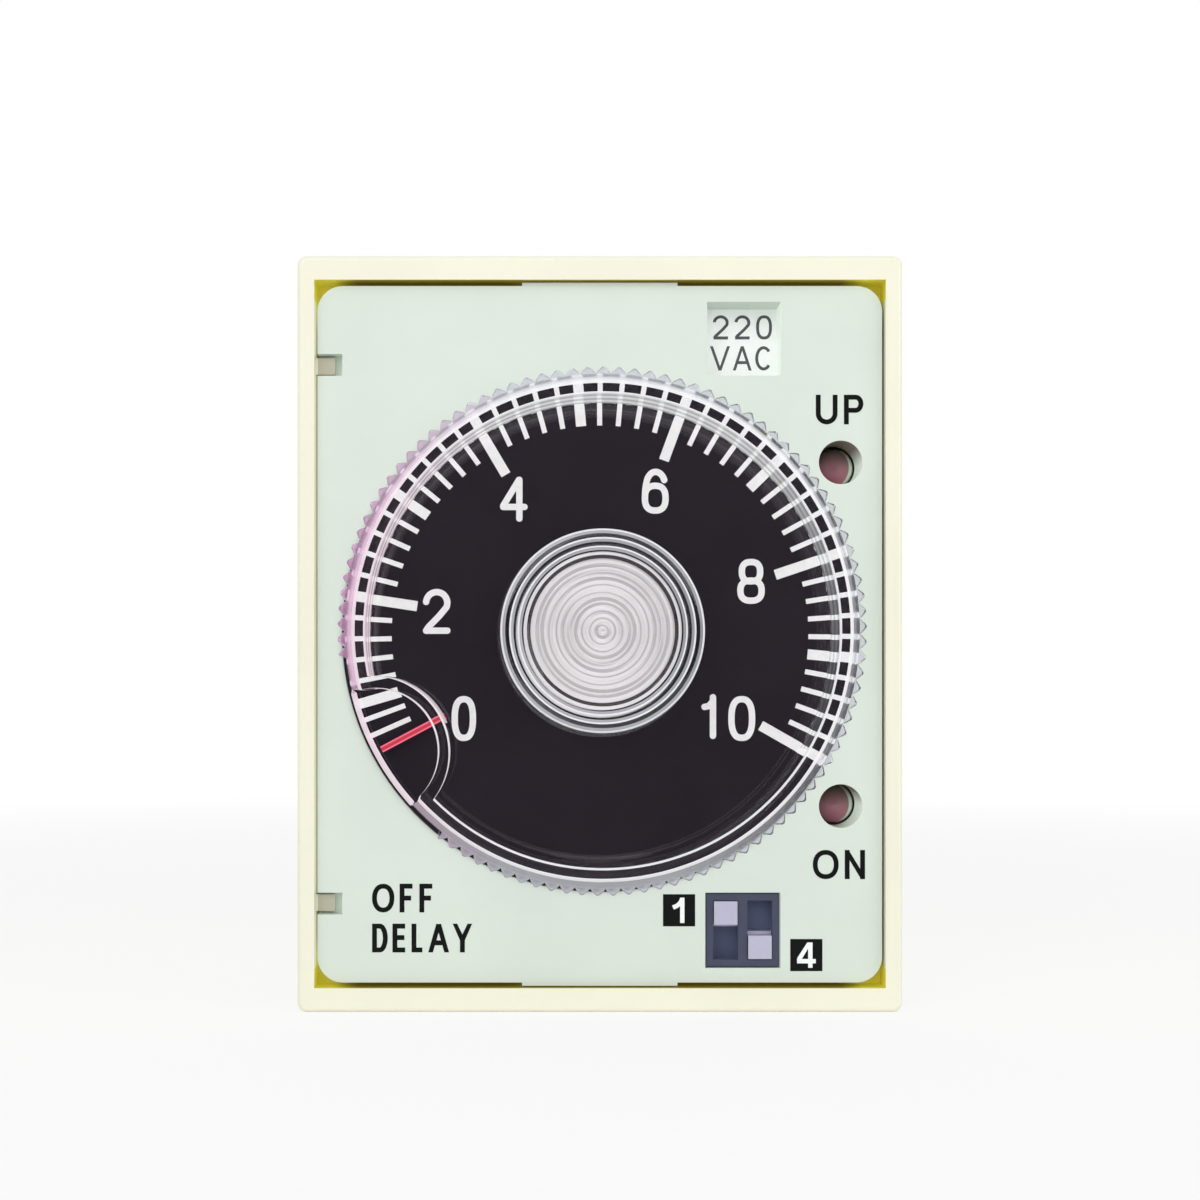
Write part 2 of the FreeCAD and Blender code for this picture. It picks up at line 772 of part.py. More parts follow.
def make_dropper_capacitor():
    """Film capacitor block on the timing board."""
    body = new_body("dropper_capacitor")
    sketch = new_sketch(body, "dropper_block", front="dropper_front")
    add_rectangle(sketch, "dropper_height", "dropper_width", "-side_board_across + dropper_height / 2",
                  "-dropper_low + dropper_width / 2")
    pad(body, sketch, "dropper_length", backwards=True)
    dress(body, "Fillet", lies_at("dropper_front"), "dropper_edges", Radius="relay_edge")
    return keep(body, "dropper_capacitor")


def make_timing_chip():
    """Chip on the timing board, lifted on two rows of flat leads."""
    board = "-side_board_across"
    package = block("chip_package", (f"{board} + chip_lift", "-chip_front", "chip_up - chip_width / 2"),
                    ("chip_height", "chip_length", "chip_width"))
    leads = []
    for column in range(CHIP_LEADS):
        along = f"-chip_front + chip_length / 2 + ({column} - {(CHIP_LEADS - 1) / 2}) * chip_lead_pitch"
        for up in ("chip_up - chip_width / 2 - chip_lead_thick", "chip_up + chip_width / 2"):
            low = (board, f"{along} - chip_lead_width / 2", up)
            size = ("chip_lift + chip_height / 2", "chip_lead_width", "chip_lead_thick")
            leads.append(block("chip_lead", low, size))
    return keep(fused("timing_chip_fused", [package] + leads), "timing_chip")


def axial_part(name, size, up):
    """Round body along Y over the power board, on a wire with a post down to the board at each end."""
    centre = "side_board_across - axial_lift"
    front = f"{size}_front"
    shell = rod(name + "_shell", f"{size}_radius", f"{size}_length", (centre, f"-{front}", up), ALONG_Y)
    wire_start = (centre, f"-{front} - axial_overhang", up)
    wire = rod(name + "_wire", "axial_wire", f"{size}_length + 2 * axial_overhang", wire_start, ALONG_Y)
    shapes = [shell, wire]
    reach = "(axial_overhang - axial_wire)"
    for along in (f"-{front} - {reach}", f"-{front} + {size}_length + {reach}"):
        shapes.append(rod(name + "_post", "axial_post", "axial_lift", (centre, along, up), ALONG_X))
    return fused(name, shapes)


def make_axial_row(label, size, count):
    """A row of like axial parts, one above the other."""
    row = [axial_part(f"{size}_{i + 1}", size, f"-{size}_low + {i} * axial_pitch") for i in range(count)]
    return keep(grouped(label + "_row", row), label)


# Plug

def pin_angle(index):
    return f"(pin_first + {index} * pin_step)"


def make_pin_leads():
    """Flat straps from the pins' tails to the nearer side board."""
    straps = []
    for index in range(PINS):
        across = f"pin_circle * cos({pin_angle(index)} * 1deg)"
        up = f"pin_circle * sin({pin_angle(index)} * 1deg) - strap_width / 2"
        if number(across) > 0:
            start, length = f"{across} - strap_width / 2", f"side_board_across - ({across} - strap_width / 2)"
        else:
            start, length = "-side_board_across", f"{across} + strap_width / 2 + side_board_across"
        low = (start, f"-({PIN_END} + strap_thick)", up)
        straps.append(block(f"strap_{index + 1}", low, (length, "strap_thick", "strap_width")))
    return keep(grouped("pin_straps", straps), "pin_leads")


def make_plug_base():
    """Plug base: plate, round boss, lip with hooks and board rails, keyed post and pin holes."""
    body = new_body("plug_base")
    plate = new_sketch(body, "plug_plate_outline", front="plug_boss_depth")
    add_rectangle(plate, "sleeve_width", "sleeve_height")
    pad(body, plate, "plug_plate")
    dress(body, "Fillet", runs_in_depth, "plug_plate_corners", Radius="sleeve_corner")
    dress(body, "Chamfer", lies_at("plug_boss_depth"), "plug_plate_edge", Size="plug_edge")

    boss = new_sketch(body, "plug_boss_outline")
    add_circle(boss, "plug_boss")
    pad(body, boss, "plug_boss_depth + plug_plate / 2")
    dress(body, "Chamfer", lies_at("0"), "plug_boss_edge", Size="plug_edge")

    lip = new_sketch(body, "plug_lip", front=PLUG_INSIDE)
    add_rectangle(lip, LIP_WIDTH, LIP_HEIGHT)
    add_rectangle(lip, f"({LIP_WIDTH} - 2 * lip_wall)", f"({LIP_HEIGHT} - 2 * lip_wall)")
    pad(body, lip, "lip_depth")

    rails = new_sketch(body, "board_rails", front=PLUG_INSIDE)
    inner = "(side_board_across - rail_play - rail_thick / 2)"
    outer = "(side_board_across + board_thick + rail_play + rail_outer / 2)"
    for side in ("", "-"):
        for end in ("", "-"):
            add_rectangle(rails, "rail_thick", "rail_width", side + inner, f"{end}rail_offset")
            add_rectangle(rails, "rail_outer", "rail_width", side + outer, f"{end}rail_offset")
    pad(body, rails, "rail_depth")

    for index, side in enumerate(("", "-")):
        hooks = new_sketch(body, f"hooks_{index + 1}", "XY_Plane", front=f"{side}hook_offset")
        start = f"-({PLUG_INSIDE} + hook_start)"
        tip = f"-({PLUG_INSIDE} + hook_start + hook_depth)"
        for hand in ("", "-"):
            root = f"{hand}({LIP_WIDTH} / 2 - lip_wall / 2)"
            face = f"{hand}({LIP_WIDTH} / 2)"
            nose = f"{hand}({LIP_WIDTH} / 2 + hook_reach)"
            add_outline(hooks, [(root, start), (nose, start), (face, tip), (root, tip)])
        pad(body, hooks, "hook_width", symmetric=True)

    post = new_sketch(body, "key_post")
    add_circle(post, "post_radius")
    pad(body, post, "post_length", backwards=True)
    dress(body, "Chamfer", lies_at("-post_length"), "key_post_edge", Size="post_edge")
    key = new_sketch(body, "key_ridge")
    add_rectangle(key, "key_width", "key_reach", "0", "-key_reach / 2")
    pad(body, key, "post_length - key_short", backwards=True)

    hole = new_sketch(body, "pin_hole", front=PLUG_INSIDE, turn="pin_first")
    add_circle(hole, "pin_shank + fit_play", "pin_circle")
    cut = pocket(body, hole)
    polar(body, cut, hole, "pin_step", PINS)
    return keep(body, "plug_base")


def make_plug_pin(index):
    """Contact pin: tapered tip, thicker shank in the base, collar inside it, and a thin tail."""
    label = f"plug_pin_{index + 1}"
    collar_front = f"({PLUG_INSIDE} + pin_collar_thick)"
    body = turned(label, [
        ("0", "-pin_length"),
        ("pin_radius - pin_tip", "-pin_length"),
        ("pin_radius", "-pin_length + pin_tip"),
        ("pin_radius", "0"),
        ("pin_shank", "0"),
        ("pin_shank", PLUG_INSIDE),
        ("pin_collar", PLUG_INSIDE),
        ("pin_collar", collar_front),
        ("pin_tail", collar_front),
        ("pin_tail", PIN_END),
        ("0", PIN_END),
    ])
    angle = pin_angle(index)
    place(body, f"pin_circle * cos({angle} * 1deg)", "0", f"pin_circle * sin({angle} * 1deg)")
    return keep(body, label)


def check_model():
    """Stop if any object failed to compute or any sub-part has no sound solid."""
    doc.recompute()
    for thing in doc.Objects:
        if "Invalid" in thing.State or "Error" in thing.State:
            raise RuntimeError(f"{thing.Name} failed: {thing.State}")
    for piece in pieces:
        shape = piece.Shape
        if shape.isNull() or not shape.isValid() or not shape.Solids:
            raise RuntimeError(f"{piece.Label} has no sound solid")


make_case()
make_front_panel()
make_rating_card()
make_scale_plate()
make_dial_knob()
make_pointer_line()
make_dial_shaft()
make_potentiometer()
make_lamp("led_up", "lamp_up")
make_lamp("led_on", "-lamp_up")
make_range_switch_body()
make_range_slider("range_slider_left", "-", "+")
make_range_slider("range_slider_right", "+", "-")
make_boards()
make_output_relay()
make_can("storage_capacitor", "store", "-", "store_up", "store_front")
make_can("filter_capacitor", "filter", "", "filter_up", "filter_front")
make_dropper_capacitor()
make_timing_chip()
make_axial_row("resistors", "resistor", RESISTORS)
make_axial_row("rectifier_diodes", "diode", DIODES)
make_pin_leads()
make_plug_base()
for pin in range(PINS):
    make_plug_pin(pin)

check_model()
os.makedirs("parts", exist_ok=True)
for piece in pieces:
    piece.Shape.exportStep(f"parts/{piece.Label}.step")
    print(f"{piece.Label}: {len(piece.Shape.Solids)} solid, {piece.Shape.Volume:.1f} cubic mm")
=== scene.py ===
"""Looks of a plug-in power-off delay timer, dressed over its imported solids.

The clear dial knob is a section carried round the dial axis, with its knurl, its ledge and its pointer
window worked out from the angle. The scale, the numerals and the panel's words are thin raised print, and
every solid of the frame gets a procedural finish. Lengths are in metres. The dial axis is the Y axis, the
dial faces -Y, and a height is the distance in front of the panel's face.
"""

import math

import bpy
import numpy as np
from bpy.props import FloatProperty, FloatVectorProperty, IntProperty, PointerProperty
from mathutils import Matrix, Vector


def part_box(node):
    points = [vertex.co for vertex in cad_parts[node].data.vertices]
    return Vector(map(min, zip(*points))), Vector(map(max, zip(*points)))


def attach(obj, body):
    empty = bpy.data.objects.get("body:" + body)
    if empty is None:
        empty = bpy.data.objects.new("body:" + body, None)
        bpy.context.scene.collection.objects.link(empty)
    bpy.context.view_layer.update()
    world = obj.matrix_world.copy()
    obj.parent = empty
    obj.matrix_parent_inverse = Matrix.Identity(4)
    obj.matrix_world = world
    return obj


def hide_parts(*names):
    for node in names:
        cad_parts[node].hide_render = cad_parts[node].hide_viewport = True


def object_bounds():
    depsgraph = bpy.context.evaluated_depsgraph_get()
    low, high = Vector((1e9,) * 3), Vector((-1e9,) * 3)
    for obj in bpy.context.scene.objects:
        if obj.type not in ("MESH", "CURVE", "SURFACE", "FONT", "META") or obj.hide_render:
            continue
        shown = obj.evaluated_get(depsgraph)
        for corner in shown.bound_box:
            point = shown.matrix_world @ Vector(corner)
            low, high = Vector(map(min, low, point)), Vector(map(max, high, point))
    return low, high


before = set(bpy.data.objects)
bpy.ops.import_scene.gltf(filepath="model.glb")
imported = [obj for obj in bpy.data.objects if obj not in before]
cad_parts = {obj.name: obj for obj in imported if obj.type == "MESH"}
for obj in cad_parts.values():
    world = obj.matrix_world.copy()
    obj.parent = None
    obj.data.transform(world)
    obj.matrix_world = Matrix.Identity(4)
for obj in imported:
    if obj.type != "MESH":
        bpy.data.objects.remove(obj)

bl_info = {
    "name": "Delay Timer Looks",
    "version": (1, 0, 0),
    "blender": (4, 5, 0),
    "location": "View3D > Sidebar > Timer",
    "description": "Dresses the solids of a plug-in delay timer and sets its studio stage",
    "category": "Object",
}

MM = 0.001
CAD_LOW, CAD_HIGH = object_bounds()

# A length too small to matter
HAIR = 1e-9

# Planes of the front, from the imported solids
PANEL_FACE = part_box("front_panel")[0].y
SCALE_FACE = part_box("scale_plate")[0].y
CARD_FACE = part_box("rating_card")[0].y
BEZEL_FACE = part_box("case")[0].y

# Width of the pointer line
POINTER_WIDTH = 0.42 * MM

# Angles of the scale's whole numbers, 0 to 10, anticlockwise from the right
MAJOR_ANGLES = (207.9, 196.2, 171.4, 145.6, 120.6, 95.2, 69.8, 44.2, 18.6, -5.6, -29.7)

# Numerals of the scale: text, and its left, bottom, width and height in millimetres
NUMERALS = (
    ("0", -9.80, -7.07, 1.62, 2.97),
    ("2", -11.69, 0.00, 1.82, 2.97),
    ("4", -6.60, 7.40, 1.82, 2.97),
    ("6", 2.75, 7.93, 1.78, 2.97),
    ("8", 9.05, 1.98, 1.82, 2.97),
    ("1", 6.68, -6.94, 0.98, 2.97),
    ("0", 8.46, -7.07, 1.78, 2.97),
)

# Words of the panel: text, and left, bottom, width and height in millimetres
PANEL_WORDS = (
    ("UP", 14.33, 13.92, 3.15, 1.96),
    ("ON", 14.13, -16.24, 3.46, 1.93),
    ("OFF", -15.10, -18.45, 4.10, 1.90),
    ("DELAY", -15.10, -21.10, 6.60, 1.90),
)

# Range boxes beside the switch: digit, and the box's centre in millimetres
RANGE_BOXES = (("1", 5.26, -18.31), ("4", 13.70, -21.28))

# Rated voltage on the card: text, and left, bottom, width and height in millimetres
CARD_WORDS = (("220", 7.72, 20.03, 4.00, 1.63), ("VAC", 7.58, 17.93, 4.14, 1.64))


# Letters, as strokes on a square from 0 to 1

# Degrees between the points of an arc, and points of a closed oval
ARC_STEP, OVAL_POINTS = 9, 49


def bow(centre, radii, start, stop):
    """Points on an elliptical arc, from one angle to another in degrees."""
    turn = np.radians(np.linspace(start, stop, 2 + int(abs(stop - start) / ARC_STEP)))
    return np.stack([centre[0] + radii[0] * np.cos(turn), centre[1] + radii[1] * np.sin(turn)], axis=-1)


def run(*parts):
    """One stroke through points and arcs."""
    return np.concatenate([np.atleast_2d(part) for part in parts])


def oval(centre, radii, squareness=2.5):
    """A closed stroke on the curve |x/a|^n + |y/b|^n = 1."""
    turn = np.linspace(0, math.tau, OVAL_POINTS)
    wave = np.stack([np.cos(turn), np.sin(turn)], axis=-1)
    return np.array(centre) + np.array(radii) * np.sign(wave) * np.abs(wave) ** (2 / squareness)


STEM = run((0, -0.15), (0, 1.15))
STROKES = {
    "0": [oval((0.5, 0.5), (0.5, 0.5))],
    "1": [run((0.0, 0.75), (0.5, 0.77), (1.0, 0.9)), STEM + (1, 0)],
    "2": [run(bow((0.5, 0.72), (0.5, 0.28), 175, -25), (0.62, 0.38), (0.12, 0.10), (0.0, 0.0)),
          run((-0.06, 0), (1.06, 0))],
    "4": [run((0.74, 1.05), (0.0, 0.33)), run((-0.04, 0.3), (1.06, 0.3)), STEM + (0.76, 0)],
    "6": [oval((0.5, 0.32), (0.5, 0.32)),
          run((0.0, 0.34), (0.02, 0.55), bow((0.52, 0.66), (0.45, 0.34), 165, 22))],
    "8": [oval((0.5, 0.75), (0.43, 0.25)), oval((0.5, 0.26), (0.5, 0.26))],
    "A": [run((-0.05, -0.15), (0.5, 1.1)), run((1.05, -0.15), (0.5, 1.1)), run((0.2, 0.3), (0.8, 0.3))],
    "C": [bow((0.5, 0.5), (0.5, 0.5), 40, 320)],
    "D": [STEM, run((0, 1), (0.45, 1), bow((0.5, 0.5), (0.5, 0.5), 85, -85), (0.45, 0), (0, 0))],
    "E": [STEM, run((0, 1), (1.08, 1)), run((0, 0.52), (1, 0.52)), run((0, 0), (1.08, 0))],
    "F": [STEM, run((0, 1), (1.08, 1)), run((0, 0.5), (0.94, 0.5))],
    "L": [STEM, run((0, 0), (1.08, 0))],
    "N": [STEM, STEM + (1, 0), run((-0.04, 1.08), (1.04, -0.08))],
    "O": [oval((0.5, 0.5), (0.5, 0.5), 2.2)],
    "P": [STEM, run((0, 1), (0.6, 1), bow((0.64, 0.735), (0.36, 0.265), 85, -85), (0.6, 0.47), (0, 0.47))],
    "U": [run((0, 1.15), (0, 0.4), bow((0.5, 0.34), (0.5, 0.34), 180, 360), (1, 0.4), (1, 1.15))],
    "V": [run((-0.05, 1.15), (0.5, -0.1)), run((1.05, 1.15), (0.5, -0.1))],
    "Y": [run((-0.05, 1.15), (0.5, 0.42)), run((1.05, 1.15), (0.5, 0.42)), run((0.5, 0.48), (0.5, -0.15))],
}

# Broad digits of the range boxes
BOLD_STROKES = {
    "1": [run((-0.46, 0.63), (0.2, 0.72), (0.7, 0.86), (1.0, 1.05)), STEM + (1, 0)],
    "4": [run((0.72, 1.1), (-0.08, 0.29)), run((-0.23, 0.21), (1.23, 0.21)), STEM + (0.81, 0)],
}

# How much wider than usual those digits are
BOLD_WIDENING = 1.06

# Widths of letters and of the gap between two, to one common measure
USUAL_WIDTH, LETTER_GAP = 0.72, 0.22
LETTER_WIDTHS = {
    "0": 0.6, "1": 0.4, "2": 0.6, "4": 0.64, "A": 0.9, "C": 0.86, "E": 0.66, "F": 0.6,
    "L": 0.58, "O": 0.92, "P": 0.66, "U": 0.74, "V": 0.95, "Y": 0.85,
}


# Settings

def number(label, description, default, **options):
    """A plain number."""
    return FloatProperty(name=label, description=description, default=default, **options)


def count(label, description, default, least=1):
    """A whole number."""
    return IntProperty(name=label, description=description, default=default, min=least)


def length(label, description, millimetres):
    """A size, written here in millimetres and kept in metres."""
    return number(label, description, millimetres * MM, unit="LENGTH", precision=5)


def angle(label, description, degrees):
    """An angle, written here in degrees and kept in radians."""
    return number(label, description, math.radians(degrees), subtype="ANGLE")


def colour(label, description, *display):
    """A colour, written here as display values from 0 to 255 and kept in linear light."""
    linear = [((v / 255 + 0.055) / 1.055) ** 2.4 if v > 10 else v / 255 / 12.92 for v in display]
    options = {"subtype": "COLOR", "min": 0, "max": 1}
    return FloatVectorProperty(name=label, description=description, default=linear, **options)


class TimerKnobSizes(bpy.types.PropertyGroup):
    """Sizes of the clear knob"""
    tip: length("Tip radius", "Radius of the knurl's tips and of the smooth sector's foot", 16.8)
    root: length("Root radius", "Radius at the bottom of the knurl's notches", 16.35)
    land: length("Land", "Flat from the slope's foot to the knurl's notches", 0.1)
    smooth: length("Smooth radius", "Radius of the smooth sector at its upper edge", 16.3)
    underside: length("Underside", "Height of the knob's underside", 0.6)
    foot: length("Foot chamfer", "Chamfer round the underside", 0.3)
    shoulder: length("Shoulder", "Height of the outer wall's upper edge", 5.8)
    ledge: length("Ledge height", "Height of the flat ledge", 6.4)
    ledge_outer: length("Ledge outer radius", "Outer radius of the ledge", 15.78)
    ledge_inner: length("Ledge inner radius", "Inner radius of the ledge", 14.97)
    dish: length("Dish radius", "Radius of the dish at its floor", 15.03)
    floor: length("Dish floor", "Height of the dish and window floor", 2.0)
    hub: length("Hub radius", "Radius of the hub at its top", 6.45)
    hub_root: length("Hub root radius", "Radius of the hub at the floor", 6.65)
    hub_top: length("Hub height", "Height of the hub's top", 6.8)
    groove: length("Groove pitch", "Pitch of the turned rings on the hub", 0.53)
    groove_depth: length("Groove depth", "Depth of the turned rings on the hub", 0.22)
    grooves: count("Grooves", "Turned rings on the hub", 11)
    bore: length("Bore radius", "Radius of the blind bore for the shaft's head", 5.02)
    bore_top: length("Bore top", "Height of the blind bore's end", 4.64)
    pointer: angle("Pointer angle", "Angle of the pointer, anticlockwise from the right", 207.9)
    window_reach: length("Window reach", "Distance of the pointer window's centre from the axis", 16.3)
    window_outer: length("Window ring radius", "Outer radius of the ledge round the window", 4.8)
    window_inner: length("Window radius", "Radius of the window", 4.0)
    pitch: angle("Knurl pitch", "Angle from notch to notch", 3.41)
    first_notch: angle("First notch", "Angle from the pointer to the first notch", 25.3)
    notches: count("Notches", "Notches in the knurl", 92, 3)
    rounding: length("Rounding", "Reach of the rounding on the edges", 0.14)
    lip: length("Window lip", "Reach of the rounding on the window's outer edge", 0.4)


class TimerPrintSizes(bpy.types.PropertyGroup):
    """Sizes of the scale and of the panel's print"""
    proud: length("Print height", "Thickness of the print", 0.012)
    tick_outer: length("Tick end", "Outer radius of the scale's ticks", 16.85)
    tick_first: length("First tick end", "Outer radius of the tick at 0", 16.2)
    tick_inner: length("Tick start", "Inner radius of the short ticks", 13.75)
    tick_even: length("Long tick start", "Inner radius of the ticks at even numbers", 12.2)
    tick_fine: length("Fine tick width", "Width of the ticks between whole numbers", 0.33)
    tick_bold: length("Bold tick width", "Width of the ticks at whole numbers", 0.67)
    divisions: count("Divisions", "Divisions between whole numbers", 5)
    first_divisions: count("First divisions", "Divisions between 0 and 1", 3)
    range_box: length("Range box", "Side of the boxes beside the range switch", 2.13)
    range_digit: length("Range digit", "Height of the digits in the boxes", 1.68)
    numeral_stroke: length("Numeral stroke", "Stroke of the scale's numerals", 0.42)
    word_stroke: length("Word stroke", "Stroke of the panel's words", 0.32)
    card_stroke: length("Card stroke", "Stroke of the rated voltage", 0.2)
    digit_stroke: length("Range digit stroke", "Stroke of the digits in the boxes", 0.29)


class TimerColours(bpy.types.PropertyGroup):
    """Colours of the finishes"""
    cream: colour("Cream", "Case and bezel", 245, 243, 222)
    mint: colour("Mint", "Front panel", 221, 231, 221)
    dial: colour("Dial black", "Scale plate", 42, 38, 45)
    print_pale: colour("Pale print", "Ticks, numerals and range digits", 250, 255, 253)
    print_dark: colour("Dark print", "Words and boxes of the panel", 10, 12, 12)
    print_grey: colour("Grey print", "Rated voltage", 85, 88, 92)
    clear: colour("Clear", "Knob", 252, 246, 249)
    # Painted highlight: a pale, mostly scattering finish where the knob's edges catch the light
    edge: colour("Bright edge", "Edges of the knob that catch the light", 250, 250, 252)
    # Painted reflection: the edges' pinkish tint on the left
    edge_pink: colour("Bright edge blush", "Tint of those edges on the left", 250, 226, 240)
    knurl: colour("Hazy knurl", "Slope and knurl of the knob", 230, 231, 240)
    # Painted reflection: the knurl's pinkish tint on the left
    knurl_pink: colour("Hazy knurl blush", "Tint of the knurl on the left", 226, 178, 214)
    pointer: colour("Pointer red", "Middle of the pointer line", 205, 40, 62)
    pointer_edge: colour("Pointer edge", "Edges of the pointer line", 255, 112, 138)
    spun: colour("Spun white", "Shaft head under the hub", 245, 247, 247)
    card: colour("Card white", "Rating card", 254, 254, 255)
    lamp: colour("Lamp red", "Lamps", 178, 108, 128)
    # Painted shade: the lamps' upper part and the top of their holes' walls take this darker tone
    lamp_top_shade: colour("Lamp dusk", "Upper part of the lamps", 114, 106, 96)
    # The wells' paler slate is painted light against their shade
    switch: colour("Slate", "Face of the range switch", 75, 79, 98)
    switch_well_light: colour("Slate well", "Wells of the range switch", 108, 114, 146)
    slider: colour("Lavender", "Sliders of the range switch", 190, 188, 210)
    plug: colour("Plug black", "Plug base", 34, 34, 36)
    pin: colour("Pin plating", "Plug pins and their leads", 206, 203, 194)
    # Painted light and shade round the panel: the seat's yellow stands in for warm light bounced inside the
    # cream plastic, the gap's brown is painted shade, and the nibs' beige is painted shade in their recess
    seat: colour("Seat yellow", "Yellowed plastic at the corners of the gap round the panel", 240, 228, 80)
    gap: colour("Gap brown", "Gap round the panel away from the corners", 156, 138, 40)
    nib: colour("Nib beige", "Latch nibs that hold the panel", 196, 191, 172)


class TimerStageSizes(bpy.types.PropertyGroup):
    """Camera, floor and light"""
    camera_across: length("Camera across", "Camera's place along X", -3.63)
    camera_up: length("Camera up", "Camera's place along Z", -4.36)
    camera_away: length("Camera distance", "Distance from the bezel's front to the camera", 129.4)
    lens: number("Lens", "Focal length in millimetres", 58.8, unit="CAMERA")
    shift_across: number("Shift X", "Frame shift as a share of its width", 0.0458)
    shift_up: number("Shift Y", "Frame shift as a share of its height", 0.0833)
    floor: length("Floor side", "Side of the square floor", 6000)
    floor_near: length("Floor fade start", "Distance at which the floor starts to fade", 90)
    floor_far: length("Floor fade end", "Distance at which the floor is as white as the background", 260)
    floor_white: number("Floor white", "Share of plain white under the object", 0.8)
    dark_side: length("Dark card width", "Width of the dark card", 320)
    dark_near: length("Dark card foot", "Distance from the dial to the dark card's foot", 75)
    dark_far: length("Dark card head", "Distance from the dial to the dark card's head", 380)
    dark_top: length("Dark card height", "Height of the dark card's head", 160)
    world: number("World light", "Strength of the soft light from all round", 0.61)
    key: number("Key light", "Power of the key light", 0.86, unit="POWER")
    fill: number("Fill light", "Power of the fill light", 0.8, unit="POWER")
    front: number("Front light", "Power of the soft front light", 1.05, unit="POWER")


# Shader building

# Where most of a noise lies, and the detail of one that shows as patches
NOISE_SPAN = (0.3, 0.7)
PATCH_DETAIL = 4.0

# Pitch of a wave texture at scale 1
WAVE_PITCH = 0.314


def fill(tree, node, inputs):
    """Fills a node's sockets: another node's output is linked, and anything else is set as a value."""
    for label, value in inputs.items():
        if isinstance(value, bpy.types.NodeSocket):
            tree.links.new(value, node.inputs[label])
        else:
            node.inputs[label].default_value = value


def add(tree, kind, inputs, **settings):
    """The outputs of a new node of this kind, with its settings made and its sockets filled."""
    node = tree.nodes.new("ShaderNode" + kind)
    for label, value in settings.items():
        setattr(node, label, value)
    fill(tree, node, inputs)
    return node.outputs


def new_finish(name):
    """An empty node material with its tree, its shader and its Object coordinates."""
    material = bpy.data.materials.new(name)
    material.use_nodes = True
    tree = material.node_tree
    return material, tree, tree.nodes["Principled BSDF"], add(tree, "TexCoord", {})["Object"]


def noise(tree, coords, size, detail=2.0):
    """Soft noise whose patches are about this size."""
    return add(tree, "TexNoise", {"Scale": 1 / size, "Detail": detail, "Vector": coords})["Fac"]


def patchwork(tree, coords, width):
    """Soft patches about this many millimetres wide."""
    return noise(tree, coords, width * MM, PATCH_DETAIL)


def wave(tree, coords, pitch, distortion, **settings):
    """Turned rings or bands of this pitch, a little uneven."""
    inputs = {"Scale": WAVE_PITCH / pitch, "Distortion": distortion, "Vector": coords}
    return add(tree, "TexWave", inputs, **settings)["Fac"]


def split(tree, vector):
    """The X, Y and Z of a vector."""
    return add(tree, "SeparateXYZ", {"Vector": vector})


def distance(tree, vector):
    """The length of a vector."""
    return add(tree, "VectorMath", {0: vector}, operation="LENGTH")["Value"]


def along(tree, coords, direction):
    """How far a place lies along a direction."""
    return add(tree, "VectorMath", {0: coords, 1: direction}, operation="DOT_PRODUCT")["Value"]


def reckon(tree, operation, first, *others):
    """Values put together one by one, each a number or another node's output. A test gives 1 or 0."""
    for other in others:
        first = add(tree, "Math", {0: first, 1: other}, operation=operation)["Value"]
    return first


def climb(tree, value, low, high, start=0.0, end=1.0, manner="LINEAR"):
    """The start up to a low value, and from there to the end at a high one."""
    inputs = {"Value": value, "From Min": low, "From Max": high, "To Min": start, "To Max": end}
    return add(tree, "MapRange", inputs, interpolation_type=manner)["Result"]


def span(tree, factor, low, high):
    """The middle of a noise or wave spread between two values."""
    return climb(tree, factor, *NOISE_SPAN, low, high)


def ramp(tree, factor, *stops):
    """Colour that passes from one stop to the other, each a place on the factor and a colour."""
    node = tree.nodes.new("ShaderNodeValToRGB")
    for point, (place, tone) in zip(node.color_ramp.elements, stops):
        point.position = place
        point.color = (*tone, 1)
    fill(tree, node, {"Fac": factor})
    return node.outputs["Color"]


def blend(tree, factor, first, second):
    """Colour between two others, each a plain colour or another node's output.

    A mix node has sockets of several kinds. Inputs 6 and 7 and output 2 are those for colours.
    """
    pair = [tone if isinstance(tone, bpy.types.NodeSocket) else (*tone, 1) for tone in (first, second)]
    return add(tree, "Mix", {"Factor": factor, 6: pair[0], 7: pair[1]}, data_type="RGBA")[2]


def shade(tone, share):
    """A colour darkened to this share."""
    return tuple(share * v for v in tone)


def worn(tree, factor, tone, share, low=0.35, high=0.65):
    """A tone that is darkened to this share where the factor is low."""
    return ramp(tree, factor, (low, shade(tone, share)), (high, tone))


def raise_surface(tree, shader, heights, depth):
    """Bump of this depth in metres on the shader's normal."""
    bump = add(tree, "Bump", {"Strength": 1.0, "Distance": depth, "Height": heights})
    fill(tree, shader, {"Normal": bump["Normal"]})


def mix_surface(tree, factor, first, second, output="Material Output"):
    """The surface passes from one shader to another with this factor."""
    mixed = add(tree, "MixShader", {"Fac": factor, 1: first, 2: second})["Shader"]
    fill(tree, tree.nodes[output], {"Surface": mixed})


def middle_of(node):
    """Centre of a solid's box."""
    low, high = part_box(node)
    return (low + high) / 2


# Finishes

# Bend of light in acrylic and in a wall too thin to bend it
ACRYLIC, NO_BEND = 1.49, 1.001

# Fine grain of mouldings and of print
GRAIN, GRAIN_DEPTH = 0.16 * MM, 0.0025 * MM
INK_GRAIN = 0.4 * MM

# Latch nibs and seat of the case: squares of shares of the panel's half size, and depths past its face
NIB_ASIDE, NIB_UP, NIB_DEPTH = 1.005, 0.9, 1.0 * MM
SEAT_OPENING, SEAT_DEPTH = 1.035, 2.6 * MM
SEAT_ASIDE, SEAT_ASIDE_START = 0.985, 0.8 * MM

# Seat above and below the panel, with its depth past the bezel's front, and the start and end of its corners,
# where the painted-shade brown passes into the painted yellow light
SEAT_UP, SEAT_UP_START = 0.9, 0.1 * MM
SEAT_CORNER = (0.74, 0.88)

